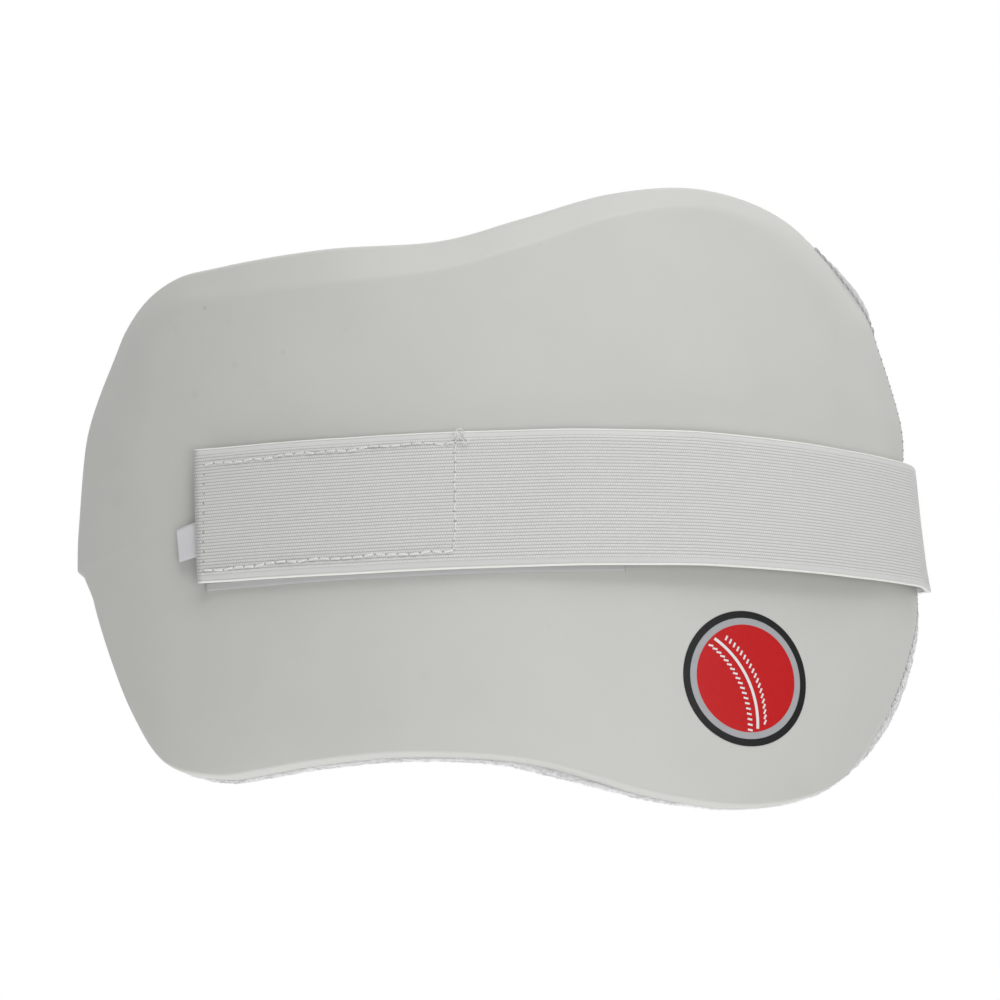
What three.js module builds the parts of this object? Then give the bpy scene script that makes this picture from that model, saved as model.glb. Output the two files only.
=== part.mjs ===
// Cricket chest guard: a bent foam pad with a towelling lining and one elastic strap round it.
// Millimetres, +Z up. The guard lies front up with its hollow back over the strap's lower run.
import * as THREE from 'three';

// Places on the guard are given on its flat pattern: s along the bend, y across it
// and h above the lining's back face. The bend's axis runs along y.
const BEND_RADIUS = 258;
const SEAT_GAP = 0.3;           // between pieces that lie on each other

const LINING_THICK = 2;
const SHELL_THICK = 9.7;
const CREASED_DROP = 6.7;       // from the face to the edge of a creased border
const ROUND_DROP = 8;           // the same where the foam is rounded off
const SHELL_BACK = LINING_THICK + SEAT_GAP;
const SHELL_FRONT = SHELL_BACK + SHELL_THICK;

// Outline of the lining, anticlockwise from the right end as seen from the front.
// bevel is the width of the foam's sloped border and flange how far the lining stands out past the foam.
// soft goes from 0, for a slope that starts at a crease, to 1, for a long round-off to a thin edge.
// blunt is the share of the drop that is left to a steep side at the edge.
const OUTLINE = [
  { s: 174.4, y: 3, bevel: 40, flange: 1.6, soft: 1, blunt: 0 },
  { s: 175.0, y: 22, bevel: 40, flange: 0.8, soft: 1, blunt: 0 },
  { s: 178.0, y: 31, bevel: 40, flange: 0.8, soft: 1, blunt: 0 },
  { s: 178.4, y: 45, bevel: 40, flange: 0.8, soft: 1, blunt: 0 },
  { s: 166.4, y: 76.2, bevel: 36, flange: 0.8, soft: 1, blunt: 0 },
  { s: 162.3, y: 91.2, bevel: 30, flange: 3.9, soft: 1, blunt: 0 },
  { s: 147.9, y: 104.5, bevel: 30, flange: 3.8, soft: 1, blunt: 0 },
  { s: 114.8, y: 122.0, bevel: 22, flange: 0.6, soft: 0.75, blunt: 0 },
  { s: 77.0, y: 128.6, bevel: 13, flange: 0.5, soft: 0.1, blunt: 0 },
  { s: 40.0, y: 123.3, bevel: 13, flange: 0.5, soft: 0, blunt: 0 },
  { s: 3.0, y: 111.2, bevel: 15, flange: 0.5, soft: 0, blunt: 0 },
  { s: -27.0, y: 102.9, bevel: 15.5, flange: 0.5, soft: 0, blunt: 0 },
  { s: -70.0, y: 102.8, bevel: 18.5, flange: 0.5, soft: 0, blunt: 0 },
  { s: -113.0, y: 101.3, bevel: 18.5, flange: 0.5, soft: 0.1, blunt: 0 },
  { s: -131.0, y: 100.0, bevel: 21, flange: 0.5, soft: 0.4, blunt: 0 },
  { s: -144.8, y: 93.9, bevel: 25, flange: 0.5, soft: 0.75, blunt: 0 },
  { s: -154.8, y: 84.2, bevel: 30, flange: 0.5, soft: 0.95, blunt: 0 },
  { s: -160.8, y: 74.0, bevel: 34, flange: 0.5, soft: 1, blunt: 0 },
  { s: -174.9, y: 42.3, bevel: 38, flange: 0.5, soft: 1, blunt: 0.1 },
  { s: -175.1, y: 5, bevel: 38, flange: 0.5, soft: 1, blunt: 0.3 },
  { s: -171.7, y: -11.2, bevel: 37.6, flange: 0.5, soft: 1, blunt: 0.4 },
  { s: -164.4, y: -33.0, bevel: 36, flange: 0.5, soft: 1, blunt: 0.55 },
  { s: -146.7, y: -69.8, bevel: 28, flange: 0.5, soft: 1, blunt: 0.65 },
  { s: -130.8, y: -89.2, bevel: 18, flange: 0.6, soft: 1, blunt: 0.75 },
  { s: -109.0, y: -95.2, bevel: 14, flange: 1.2, soft: 1, blunt: 0.75 },
  { s: -94.0, y: -94.2, bevel: 14, flange: 1.3, soft: 1, blunt: 0.75 },
  { s: -78.0, y: -92.4, bevel: 14, flange: 1.4, soft: 1, blunt: 0.75 },
  { s: -47.0, y: -90.8, bevel: 14, flange: 1.5, soft: 1, blunt: 0.75 },
  { s: -12.0, y: -93.4, bevel: 14, flange: 1.7, soft: 1, blunt: 0.75 },
  { s: 4.0, y: -97.5, bevel: 14, flange: 2.7, soft: 1, blunt: 0.75 },
  { s: 20.0, y: -101.8, bevel: 14, flange: 2.1, soft: 1, blunt: 0.75 },
  { s: 40.0, y: -107.2, bevel: 14, flange: 1.3, soft: 1, blunt: 0.75 },
  { s: 76.0, y: -111.5, bevel: 16, flange: 0.6, soft: 1, blunt: 0.75 },
  { s: 112.8, y: -105.6, bevel: 22, flange: 1.2, soft: 1, blunt: 0.55 },
  { s: 145.8, y: -85.0, bevel: 32, flange: 3.4, soft: 1, blunt: 0.1 },
  { s: 169.9, y: -56, bevel: 38, flange: 3.6, soft: 1, blunt: 0 },
  { s: 179.8, y: -32, bevel: 40, flange: 2.6, soft: 1, blunt: 0 },
];
const STEPS_PER_ROW = 4;

// The left edge stands out where the strap's end is caught in its seam:
// it swells downwards from top to bottom, steps back and leaves a share of itself to a tail below.
const TAB = { out: 5.2, top: 38, bottom: -11.2, step: 4, tail: 14, tailShare: 0.5 };

// Rings of the pad run inwards to a spine, the line that its middle shrinks to.
const SPINE_START = new THREE.Vector2(-95, 3);
const SPINE_END = new THREE.Vector2(95, 8);
const FIELD_SHARES = [0.88, 0.6, 0.3];   // rings between the border and the spine

// Section of the foam's border: share of the bevel's width inwards, share of the drop
// on a creased border and on a rounded one.
const BORDER = [
  { inset: 1, creased: 0, round: 0 },
  { inset: 0.7, creased: 0.25, round: 0.09 },
  { inset: 0.4, creased: 0.53, round: 0.36 },
  { inset: 0.07, creased: 0.9, round: 0.87 },
  { inset: 0, creased: 1.15, round: 1.08 },
];
const BACK_STEP = 0.45;         // ring on the back, as a share of the bevel

// Elastic strap. Its front stretch is lifted off the shell by the patches beneath it.
const STRAP_WIDTH = 50;
const STRAP_THICK = 1.5;
const STRAP_END_S = -115;
const STRAP_LIFT = 4.1;         // inner face above the shell's front, over the patches
const STRAP_FRONT = [           // from the fold to the loop patch's right end
  { s: 160, lift: 2.6 },
  { s: 135, lift: 4.6 },
  { s: 105, lift: 5.8 },
  { s: 70, lift: 5.6 },
  { s: 33, lift: STRAP_LIFT },
];
const FOLD_RADIUS = 7.25;       // middle of the strap, round the guard's right edge
const FOLD_X = 162.4;
const FOLD_TURN = 115;          // degrees from the lower run to the rise along the bevel
const RISE_PULL = { fold: 10, front: 4 };     // how far the rise keeps the way of each end
const SEWN_START_S = -174.5;      // the strap's other end is sewn to the lining at the left edge
const SEWN_END_S = -165.5;
const SEWN_GAP = 0.7;           // under the lining, whose facets bulge a little
const SEWN_SHIFT_Y = 13.5;      // the sewn end sits off the strap's front line
const LOWER_RUN_X = -118;       // where the strap reaches the floor
const DROP_PULL = { sewn: 12, floor: 18 };    // how far the drop keeps the way of each end
const RIM_CLEARANCE = 1.3;      // between the lower run and the lowest rim
const CURVE_STEPS = { sewn: 3, drop: 10, lower: 6, fold: 12, rise: 6, bridge: 24, patch: 28 };
const LOWER_CURVES = 3;         // sewn end, drop and lower run, which slant to the sewn end

// Fastening patches and the folded label, in places on the flat pattern
const PATCH_THICK = 1.6;
const LOOP_PATCH = { s: [-113, 33], y: [-26.8, 23.2], steps: 26 };
const HOOK_PATCH = { s: [-112.8, -22], y: [-21.5, 21.5], steps: 16 };
const LABEL = { s: [-123.2, -113.4], y: [-15, -1.6], steps: 3 };
const LABEL_THICK = 0.7;

// A place on the flat pattern, bent round the axis that lies along y
function bend(s, y, h) {
  const angle = s / BEND_RADIUS;
  const radius = BEND_RADIUS + h;
  return new THREE.Vector3(radius * Math.sin(angle), y, radius * Math.cos(angle));
}

// How far the left edge stands out at this height
function tabSwell(y) {
  const ramp = THREE.MathUtils.clamp((TAB.top - y) / (TAB.top - TAB.bottom), 0, 1);
  const step = THREE.MathUtils.smoothstep(y, TAB.bottom - TAB.step, TAB.bottom);
  const tail = THREE.MathUtils.smoothstep(y, TAB.bottom - TAB.tail, TAB.bottom);
  return TAB.out * ramp * ramp * THREE.MathUtils.lerp(step, tail, TAB.tailShare);
}

// Samples round the outline, each with its way in to the spine
function outlineSamples() {
  const corners = OUTLINE.map((row) => new THREE.Vector3(row.s, row.y, 0));
  const curve = new THREE.CatmullRomCurve3(corners, true, 'centripetal');
  const spine = new THREE.Line3(
    new THREE.Vector3(SPINE_START.x, SPINE_START.y, 0),
    new THREE.Vector3(SPINE_END.x, SPINE_END.y, 0),
  );
  const count = OUTLINE.length * STEPS_PER_ROW;
  return Array.from({ length: count }, (_, i) => {
    const row = OUTLINE[Math.floor(i / STEPS_PER_ROW)];
    const next = OUTLINE[(Math.floor(i / STEPS_PER_ROW) + 1) % OUTLINE.length];
    const share = (i % STEPS_PER_ROW) / STEPS_PER_ROW;
    const edge = curve.getPoint(i / count);
    if (edge.x < SPINE_START.x) {
      edge.x -= tabSwell(edge.y);
    }
    const foot = spine.closestPointToPoint(edge, true, new THREE.Vector3());
    return {
      edge,
      inward: foot.clone().sub(edge).normalize(),
      reach: foot.distanceTo(edge),
      bevel: THREE.MathUtils.lerp(row.bevel, next.bevel, share),
      flange: THREE.MathUtils.lerp(row.flange, next.flange, share),
      soft: THREE.MathUtils.lerp(row.soft, next.soft, share),
      blunt: THREE.MathUtils.lerp(row.blunt, next.blunt, share),
    };
  });
}

const samples = outlineSamples();

// One ring round the pad, set in from the outline and raised by amounts worked out per sample
function ring(insetOf, heightOf) {
  const flat = samples.map((sample) => sample.edge.clone().addScaledVector(sample.inward, insetOf(sample)));
  return { flat, points: flat.map((place, i) => bend(place.x, place.y, heightOf(samples[i]))) };
}

const at = (h) => () => h;
const onBorder = (share) => (sample) => sample.flange + share * sample.bevel;
const atFoamEdge = onBorder(0);
const atCrease = onBorder(1);
const inField = (share) => (sample) => THREE.MathUtils.lerp(atCrease(sample), sample.reach, share);

function geometryFrom(points, triangles) {
  const geometry = new THREE.BufferGeometry();
  geometry.setFromPoints(points);
  geometry.setIndex(triangles.flat());
  geometry.computeVertexNormals();
  return geometry;
}

// Triangles across the innermost ring, laid from its right end to its left between its two long sides
function middleTriangles(flat) {
  const triangles = [];
  let upper = 0;
  let lower = flat.length - 1;
  while (lower - upper > 1) {
    if (flat[upper + 1].x > flat[lower - 1].x) {
      triangles.push([upper, upper + 1, lower]);
      upper += 1;
    } else {
      triangles.push([upper, lower - 1, lower]);
      lower -= 1;
    }
  }
  return triangles;
}

// Closed skin over rings that run from the front's middle, over the edge, to the back's middle.
// Faces on the front and the back are split along the same lines, so that stacked pads stay parallel.
function padGeometry(front, back) {
  const rings = [...front, ...back];
  const count = samples.length;
  const last = (rings.length - 1) * count;
  const triangles = [];
  for (let k = 0; k + 1 < rings.length; k += 1) {
    for (let i = 0; i < count; i += 1) {
      const j = (i + 1) % count;
      const here = k * count;
      const there = here + count;
      if (k < front.length) {
        triangles.push([here + i, there + i, there + j], [here + i, there + j, here + j]);
      } else {
        triangles.push([here + i, there + i, here + j], [there + i, there + j, here + j]);
      }
    }
  }
  for (const [a, b, c] of middleTriangles(rings[0].flat)) {
    triangles.push([a, b, c], [last + a, last + c, last + b]);
  }
  return geometryFrom(rings.flatMap((each) => each.points), triangles);
}

// Closed skin over sections of four corners, in order round the way that the band runs
function bandGeometry(sections) {
  const triangles = [];
  for (let k = 0; k + 1 < sections.length; k += 1) {
    for (let i = 0; i < 4; i += 1) {
      const j = (i + 1) % 4;
      const here = 4 * k;
      const there = here + 4;
      triangles.push([here + i, here + j, there + j], [here + i, there + j, there + i]);
    }
  }
  const end = 4 * (sections.length - 1);
  triangles.push([0, 2, 1], [0, 3, 2], [end, end + 1, end + 2], [end, end + 2, end + 3]);
  return geometryFrom(sections.flat(), triangles);
}

// Height of a row of the border's section; a blunt border keeps its fall for the last row, at the edge
const borderHeight = (row) => (sample) => {
  const drop = THREE.MathUtils.lerp(row.creased * CREASED_DROP, row.round * ROUND_DROP, sample.soft);
  return SHELL_FRONT - (row.inset > 0 ? 1 - sample.blunt : 1) * drop;
};

// Foam pad with its sloped border
function shellGeometry() {
  const field = FIELD_SHARES.map((share) => ring(inField(share), at(SHELL_FRONT)));
  const border = BORDER.map((row) => ring(onBorder(row.inset), borderHeight(row)));
  const back = [atFoamEdge, onBorder(BACK_STEP), atCrease].map((inset) => ring(inset, at(SHELL_BACK)));
  const backField = FIELD_SHARES.toReversed().map((share) => ring(inField(share), at(SHELL_BACK)));
  return padGeometry([...field, ...border], [...back, ...backField]);
}

// Towelling on the back, a flange wider than the foam
function liningGeometry() {
  const rim = [() => 0, atFoamEdge, onBorder(BACK_STEP), atCrease];
  const face = (h) => [...FIELD_SHARES.map((share) => ring(inField(share), at(h))),
    ...rim.toReversed().map((inset) => ring(inset, at(h)))];
  return padGeometry(face(LINING_THICK), face(0).toReversed());
}

// Middle line of the strap's thickness, seen along y: sewn end, lower run, fold and front
function strapPath() {
  const polar = (s) => Math.PI / 2 - s / BEND_RADIUS;
  const half = STRAP_THICK / 2;
  const rimLow = Math.min(...samples.map((sample) => bend(sample.edge.x, 0, 0).z));
  const floorZ = rimLow - RIM_CLEARANCE - half;
  const foldZ = floorZ + FOLD_RADIUS;
  const sewnRadius = BEND_RADIUS - SEWN_GAP - half;
  const frontRadius = (lift) => BEND_RADIUS + SHELL_FRONT + lift + half;
  const onFront = (s, lift) => new THREE.Vector2(Math.cos(polar(s)), Math.sin(polar(s)))
    .multiplyScalar(frontRadius(lift));
  const along = (s) => new THREE.Vector2(Math.sin(polar(s)), -Math.cos(polar(s)));
  const path = new THREE.Path();

  path.absarc(0, 0, sewnRadius, polar(SEWN_START_S), polar(SEWN_END_S), true);
  const sewnEnd = path.currentPoint.clone();
  const leave = along(SEWN_END_S).multiplyScalar(DROP_PULL.sewn).add(sewnEnd);
  path.bezierCurveTo(leave.x, leave.y, LOWER_RUN_X - DROP_PULL.floor, floorZ, LOWER_RUN_X, floorZ);
  path.lineTo(FOLD_X, floorZ);

  const foldEnd = THREE.MathUtils.degToRad(FOLD_TURN) - Math.PI / 2;
  path.absarc(FOLD_X, foldZ, FOLD_RADIUS, -Math.PI / 2, foldEnd, false);
  const rise = new THREE.Vector2(-Math.sin(foldEnd), Math.cos(foldEnd))
    .multiplyScalar(RISE_PULL.fold)
    .add(path.currentPoint);
  const bridge = STRAP_FRONT.map((row) => onFront(row.s, row.lift));
  const landing = along(STRAP_FRONT[0].s).multiplyScalar(RISE_PULL.front).add(bridge[0]);
  path.bezierCurveTo(rise.x, rise.y, landing.x, landing.y, bridge[0].x, bridge[0].y);
  path.splineThru(bridge.slice(1));
  path.absarc(0, 0, frontRadius(STRAP_LIFT), polar(STRAP_FRONT.at(-1).s), polar(STRAP_END_S), false);
  return path;
}

function strapGeometry() {
  const path = strapPath();
  const steps = Object.values(CURVE_STEPS);
  const sections = [];
  const addSection = (curve, share, shiftY) => {
    const middle = curve.getPointAt(share);
    const way = curve.getTangentAt(share);
    const corner = (side, sideY) => new THREE.Vector3(
      middle.x + side * way.y * STRAP_THICK / 2,
      shiftY + sideY * STRAP_WIDTH / 2,
      middle.y - side * way.x * STRAP_THICK / 2,
    );
    sections.push([corner(1, -1), corner(1, 1), corner(-1, 1), corner(-1, -1)]);
  };
  // Where two curves meet already, the line that joins them has no length and is left out
  const curves = path.curves.filter((curve) => curve.getLength() > SEAT_GAP);
  const startX = curves[0].getPointAt(0).x;
  curves.forEach((curve, index) => {
    for (let k = index === 0 ? 0 : 1; k <= steps[index]; k += 1) {
      const share = k / steps[index];
      const x = curve.getPointAt(share).x;
      const shiftY = index < LOWER_CURVES ? SEWN_SHIFT_Y * (FOLD_X - x) / (FOLD_X - startX) : 0;
      addSection(curve, share, shiftY);
    }
  });
  return bandGeometry(sections);
}

// Thin rectangle that follows the bend
function patchGeometry(place, low, thick) {
  const sections = Array.from({ length: place.steps + 1 }, (_, k) => {
    const s = THREE.MathUtils.lerp(place.s[0], place.s[1], k / place.steps);
    const high = low + thick;
    return [
      bend(s, place.y[0], low),
      bend(s, place.y[1], low),
      bend(s, place.y[1], high),
      bend(s, place.y[0], high),
    ];
  });
  return bandGeometry(sections);
}

const LOOP_LOW = SHELL_FRONT + SEAT_GAP;
const HOOK_LOW = LOOP_LOW + PATCH_THICK + SEAT_GAP;
const LABEL_LOW = SHELL_FRONT + STRAP_LIFT - SEAT_GAP - LABEL_THICK;

function piece(name, geometry, color, roughness) {
  const mesh = new THREE.Mesh(geometry, new THREE.MeshStandardMaterial({ color, roughness, metalness: 0 }));
  mesh.name = name;
  return mesh;
}

const guard = new THREE.Group();
guard.add(
  piece('shell', shellGeometry(), 0xd6d6d0, 0.5),
  piece('lining', liningGeometry(), 0xe9e8e6, 0.95),
  piece('strap', strapGeometry(), 0xf0f0ee, 0.85),
  piece('loop_patch', patchGeometry(LOOP_PATCH, LOOP_LOW, PATCH_THICK), 0xebebea, 0.95),
  piece('hook_patch', patchGeometry(HOOK_PATCH, HOOK_LOW, PATCH_THICK), 0xe6e6e5, 0.9),
  piece('label', patchGeometry(LABEL, LABEL_LOW, LABEL_THICK), 0xf4f4f6, 0.6),
);

// The origin is under the middle of the guard, on the surface that it lies on
const extent = new THREE.Box3().setFromObject(guard);
const middle = extent.getCenter(new THREE.Vector3());
guard.position.set(-middle.x, -middle.y, -extent.min.z);
guard.updateMatrixWorld(true);

export default guard;
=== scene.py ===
"""Looks of a cricket chest guard: foam shell, towelling lining, ribbed elastic strap and its fastening."""
import math
import random

import bpy
import numpy as np
from mathutils import Matrix, Vector


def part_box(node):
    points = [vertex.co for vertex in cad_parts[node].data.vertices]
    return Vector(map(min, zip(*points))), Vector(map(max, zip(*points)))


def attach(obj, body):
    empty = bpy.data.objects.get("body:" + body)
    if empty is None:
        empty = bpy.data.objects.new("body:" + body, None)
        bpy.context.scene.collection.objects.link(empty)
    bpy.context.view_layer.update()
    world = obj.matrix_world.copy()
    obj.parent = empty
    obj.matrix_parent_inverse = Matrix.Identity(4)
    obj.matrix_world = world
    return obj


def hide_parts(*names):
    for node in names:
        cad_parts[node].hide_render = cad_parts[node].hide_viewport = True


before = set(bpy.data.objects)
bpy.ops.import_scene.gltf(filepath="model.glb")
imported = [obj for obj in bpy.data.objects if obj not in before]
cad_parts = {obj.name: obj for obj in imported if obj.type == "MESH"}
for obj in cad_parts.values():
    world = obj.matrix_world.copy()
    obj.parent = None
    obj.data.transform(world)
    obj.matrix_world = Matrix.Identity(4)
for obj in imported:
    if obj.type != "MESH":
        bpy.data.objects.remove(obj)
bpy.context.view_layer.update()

# Sizes in millimetres, on the flat pattern: s along the bend, y across it, h above the lining's back
MM = 0.001
BEND_RADIUS = 258
SEAT_GAP = 0.3
LINING_THICK = 2
SHELL_THICK = 9.7
SHELL_BACK = LINING_THICK + SEAT_GAP
SHELL_FRONT = SHELL_BACK + SHELL_THICK

# Outline of the lining, anticlockwise from the right end: s, y, width of the foam's slope, lining's
# flange past the foam, softness of the slope, from 0 for a crease to 1 for a long round-off, and
# the share of the fall that is left to a steep side at the edge
OUTLINE = (
    (174.4, 3, 40, 1.6, 1, 0),
    (175.0, 22, 40, 0.8, 1, 0),
    (178.0, 31, 40, 0.8, 1, 0),
    (178.4, 45, 40, 0.8, 1, 0),
    (166.4, 76.2, 36, 0.8, 1, 0),
    (162.3, 91.2, 30, 3.9, 1, 0),
    (147.9, 104.5, 30, 3.8, 1, 0),
    (114.8, 122.0, 22, 0.6, 0.75, 0),
    (77.0, 128.6, 13, 0.5, 0.1, 0),
    (40.0, 123.3, 13, 0.5, 0, 0),
    (3.0, 111.2, 15, 0.5, 0, 0),
    (-27.0, 102.9, 15.5, 0.5, 0, 0),
    (-70.0, 102.8, 18.5, 0.5, 0, 0),
    (-113.0, 101.3, 18.5, 0.5, 0.1, 0),
    (-131.0, 100.0, 21, 0.5, 0.4, 0),
    (-144.8, 93.9, 25, 0.5, 0.75, 0),
    (-154.8, 84.2, 30, 0.5, 0.95, 0),
    (-160.8, 74.0, 34, 0.5, 1, 0),
    (-174.9, 42.3, 38, 0.5, 1, 0.1),
    (-175.1, 5, 38, 0.5, 1, 0.3),
    (-171.7, -11.2, 37.6, 0.5, 1, 0.4),
    (-164.4, -33.0, 36, 0.5, 1, 0.55),
    (-146.7, -69.8, 28, 0.5, 1, 0.65),
    (-130.8, -89.2, 18, 0.6, 1, 0.75),
    (-109.0, -95.2, 14, 1.2, 1, 0.75),
    (-94.0, -94.2, 14, 1.3, 1, 0.75),
    (-78.0, -92.4, 14, 1.4, 1, 0.75),
    (-47.0, -90.8, 14, 1.5, 1, 0.75),
    (-12.0, -93.4, 14, 1.7, 1, 0.75),
    (4.0, -97.5, 14, 2.7, 1, 0.75),
    (20.0, -101.8, 14, 2.1, 1, 0.75),
    (40.0, -107.2, 14, 1.3, 1, 0.75),
    (76.0, -111.5, 16, 0.6, 1, 0.75),
    (112.8, -105.6, 22, 1.2, 1, 0.55),
    (145.8, -85.0, 32, 3.4, 1, 0.1),
    (169.9, -56, 38, 3.6, 1, 0),
    (179.8, -32, 40, 2.6, 1, 0),
)
LEAST_FLANGE = 0.3
# The left edge swells downwards to a tab, steps back and tapers off
TAB_OUT, TAB_TOP, TAB_BOTTOM = 5.2, 38, -11.2
TAB_STEP, TAB_TAIL, TAB_TAIL_SHARE = 4, 14, 0.5
SPINE_START = np.array([-95.0, 3.0])
SPINE_END = np.array([95.0, 8.0])

# Rim of the towelling
RIM_CURL = 0.55           # rise of the towelling's rim for each mm of flange past RIM_FLAT
RIM_FLAT = 1.0
CURL_S = (90, 125)        # the rim curls up only right of here
CURL_POWER = 1.3
RIM_SPRING = 0.4          # how far the towelling springs up past the foam's edge
SPRING_REACH = (-0.4, 0.1)
RIM_ROUND = 1.5           # how far in the rim's round side reaches
RIM_MIDDLE = 0.6          # height of the rim's outermost line

# Strap
STRAP_WIDTH = 50
STRAP_HALF = STRAP_WIDTH / 2
STRAP_THICK = 1.5
STRAP_END_S = -115
STRAP_LIFT = 4.1
FRONT_S = (-8, 18, 105, 135, 160)                 # where the front run stands off the face
FRONT_LIFT = (STRAP_LIFT, 6.1, 5.8, 4.6, 2.6)     # and how far
FOLD_RADIUS = 7.25
FOLD_X = 162.4
FOLD_TURN = math.radians(115)
RISE_PULL_FOLD, RISE_PULL_FRONT = 10, 4
SEWN_START_S, SEWN_END_S = -174.5, -165.5
SEWN_GAP = 0.7
SEWN_SHIFT_Y = 13.5
LOWER_RUN_X = -118
DROP_PULL_SEWN, DROP_PULL_FLOOR = 12, 18
RIM_CLEARANCE = 1.3
SEWN_STEPS, DROP_STEPS, LOWER_STEPS, FOLD_STEPS, RISE_STEPS, FRONT_STEPS = 12, 60, 100, 60, 40, 300
LIFT_SMOOTHING = 25       # steps of the front run over which its lift is evened out
STRAP_STEPS = 250
END_SKEW = 0.035          # how far the cut end leans along the strap, per mm across it
END_SKEW_REACH = 55
FOLD_SKEW = 0.17          # how far the fold leans, per mm across the strap
FOLD_SHIFT = 1.4          # how far the pull of the strap draws the fold in
FOLD_PINCH = 3.0          # and how far it draws the fold's upper corner down
FOLD_TUCK = 1.3           # and its lower corner up
FOLD_MIDDLE = 0.45        # share of the fold's turn where this is strongest
FOLD_REACH = 6.5
EDGE_DROOP = 1.8          # how far the strap's edges bend down to the patch beneath
FREE_DROOP = 0.4          # and to the shell where no patch lies
DROOP_START = 20.8        # from the strap's middle line
DROOP_S = (30, 60)        # the droop lessens between here and there
DROOP_AFTER_FOLD = (30, 100)
DROOP_BEFORE_END = (-6, 14)
BOW_S = (-115, -60, 60, 85, 125, 160)             # where the front run strays across the guard
BOW_Y = (0.7, -0.35, -0.2, -0.8, -1.75, -1.75)    # and how far
RIB_PITCH = 1.174
RIB_DEPTH = 0.2
RIB_START = 2.6           # from each edge, inside the selvedge
RIB_GROOVE, RIB_GROOVE_WIDTH = 0.14, 0.18
SELVEDGE = 0.85           # width of the cord along each edge
CORD_ROUND = 0.1
CORD_GROOVE, CORD_GROOVE_WIDTH = 0.12, 0.16
BAND_DEPTH = 0.05         # of the smooth band between the cord and the ribs
UNDERSIDE_RELIEF = 0.7
STRAP_ROUND = 0.45        # radius of the strap's edges
STRAP_ROUND_STEPS = 5
BAND_FROM, BAND_STEPS = 0.5, 10

# Patches and label: s from and to, y from and to
PATCH_THICK = 1.6
LOOP_PATCH = (-113, 33, -26.8, 23.2)
HOOK_PATCH = (-112.8, -22, -21.5, 21.5)
LOOP_TAPE_STEPS, HOOK_TAPE_STEPS = (180, 64), (90, 44)
TAPE_SOFTEN, TAPE_SOFTEN_WIDTH = 0.35, 0.5        # how far the tape's edges are rounded down
TAPE_PILE_EDGE = (1.8, 2.8)                       # the pile starts this far from the sides
TAPE_PILE_HEIGHT, TAPE_ROUGH, TAPE_ROUGH_PITCH = 0.45, 0.12, 1.4
LABEL = (-123.2, -113.4, -14.0, -0.8)
LABEL_THICK = 0.7
LABEL_FALL = 1.3          # how far the free end hangs towards the lower edge
LABEL_LEAN = 1.2
LABEL_PIVOT = 0.3         # share of the way up the label where the lean doesn't move it
LABEL_DROOP = 0.9
LABEL_CURL, LABEL_SINK = 0.6, 0.1
LABEL_FOLD = 0.3          # radius of the fold
LABEL_LAYER = 0.12        # thickness of each layer
LABEL_STEPS, LABEL_FOLD_STEPS, LABEL_ROWS = 14, 7, 12
LOOP_LOW = SHELL_FRONT + SEAT_GAP
HOOK_LOW = LOOP_LOW + PATCH_THICK + SEAT_GAP
LABEL_LOW = SHELL_FRONT + STRAP_LIFT - SEAT_GAP - LABEL_THICK
STRAP_TOP = SHELL_FRONT + STRAP_LIFT + STRAP_THICK

# Towelling loops along the rim; pairs are the least and the most
PILE_STEP = 0.5           # from one clump of loops to the next along the rim
PILE_LEAST_FLANGE = 1.0   # loops stand only where the rim shows this far
PILE_TOP_Y = 60           # above here the towelling is pressed flat
UNDER_STRAP_S, UNDER_STRAP_Y = 150, (-32, 40)     # the strap hides the rim past here, between these
LOOP_PLACE = (0.05, 1.0)  # share of the flange
LOOP_TWIST = (-0.5, 0.5)
LOOP_SPREAD = (0.25, 0.55)
LOOP_TALL = (0.1, 0.4)
LOOP_RADIUS = (0.11, 0.17)
LOOP_LEAST_DEPTH = 0.15
LOOP_ROOT, LOOP_RIM_ROOT = 0.35, 0.9              # how deep loops are rooted, and how much deeper at the rim
LOOP_POINTS, LOOP_SIDES = 6, 4

# Sewing
EDGE_STITCH_PITCH = 4.0
STITCH_FROM_S = 128       # the seam shows on the face right of here
LOW_STITCH_FROM_S = 149   # and below the strap right of here
EDGE_STITCH_INSET = 1.5
EDGE_STITCH_HALF = 0.36   # half a stitch's length, as a share of the pitch
EDGE_STITCH_POINTS = 7
EDGE_STITCH_ARCH = 0.3
UPPER_SEAM_Y = 79         # above here the seam's thread is thick and dark, as painted shade of the seam's groove
EDGE_THREAD_RADIUS, EDGE_THREAD_SINK = 0.22, 0.5
SHADED_THREAD_RADIUS, SHADED_THREAD_SINK = 1.2, 0.7
EDGE_HOLE_RADIUS, EDGE_HOLE_SINK = (0.7, 0.9), 0.3
CAP_HEIGHT = 0.12         # how far a hole's shaded cap rises in its middle
TUBE_TIP = 0.45           # share of a thread's radius at its ends
NEARLY_UPRIGHT = 0.9      # a thread that rises more steeply than this is built about another axis
BOX_STITCH_PITCH = 3.7
# Box of stitches, corner by corner: s and y, then for the side from there its wander, the thread's
# height and radius, the radius of the shaded furrow that it lies in and that of its holes
BOX_CORNERS = (
    ((-111.6, 19.0), 0.6, 0.62, 0.34, 0.32, 0.40),
    ((-23.8, 19.9), 0.4, 0.40, 0.26, 0.0, 0.42),
    ((-25.4, -19.2), 0.5, 0.70, 0.40, 0.35, 0.38),
    ((-111.8, -20.2), 0.15, -0.1, 0.2, 0.0, 0.50),
)
BOX_STITCH_SPAN, BOX_STITCH_POINTS = (0.06, 0.94), 9
BOX_STITCH_UNEVEN, BOX_HOLE_UNEVEN = (0.7, 1.2), (0.85, 1.15)
BOX_STITCH_SINK, BOX_HOLE_SINK = 0.3, 0.06
BOX_STITCH_POWER = 0.6    # how steeply a stitch rises from its holes
FURROW_SINK, FURROW_SHIFT = 0.72, 0.12
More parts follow.
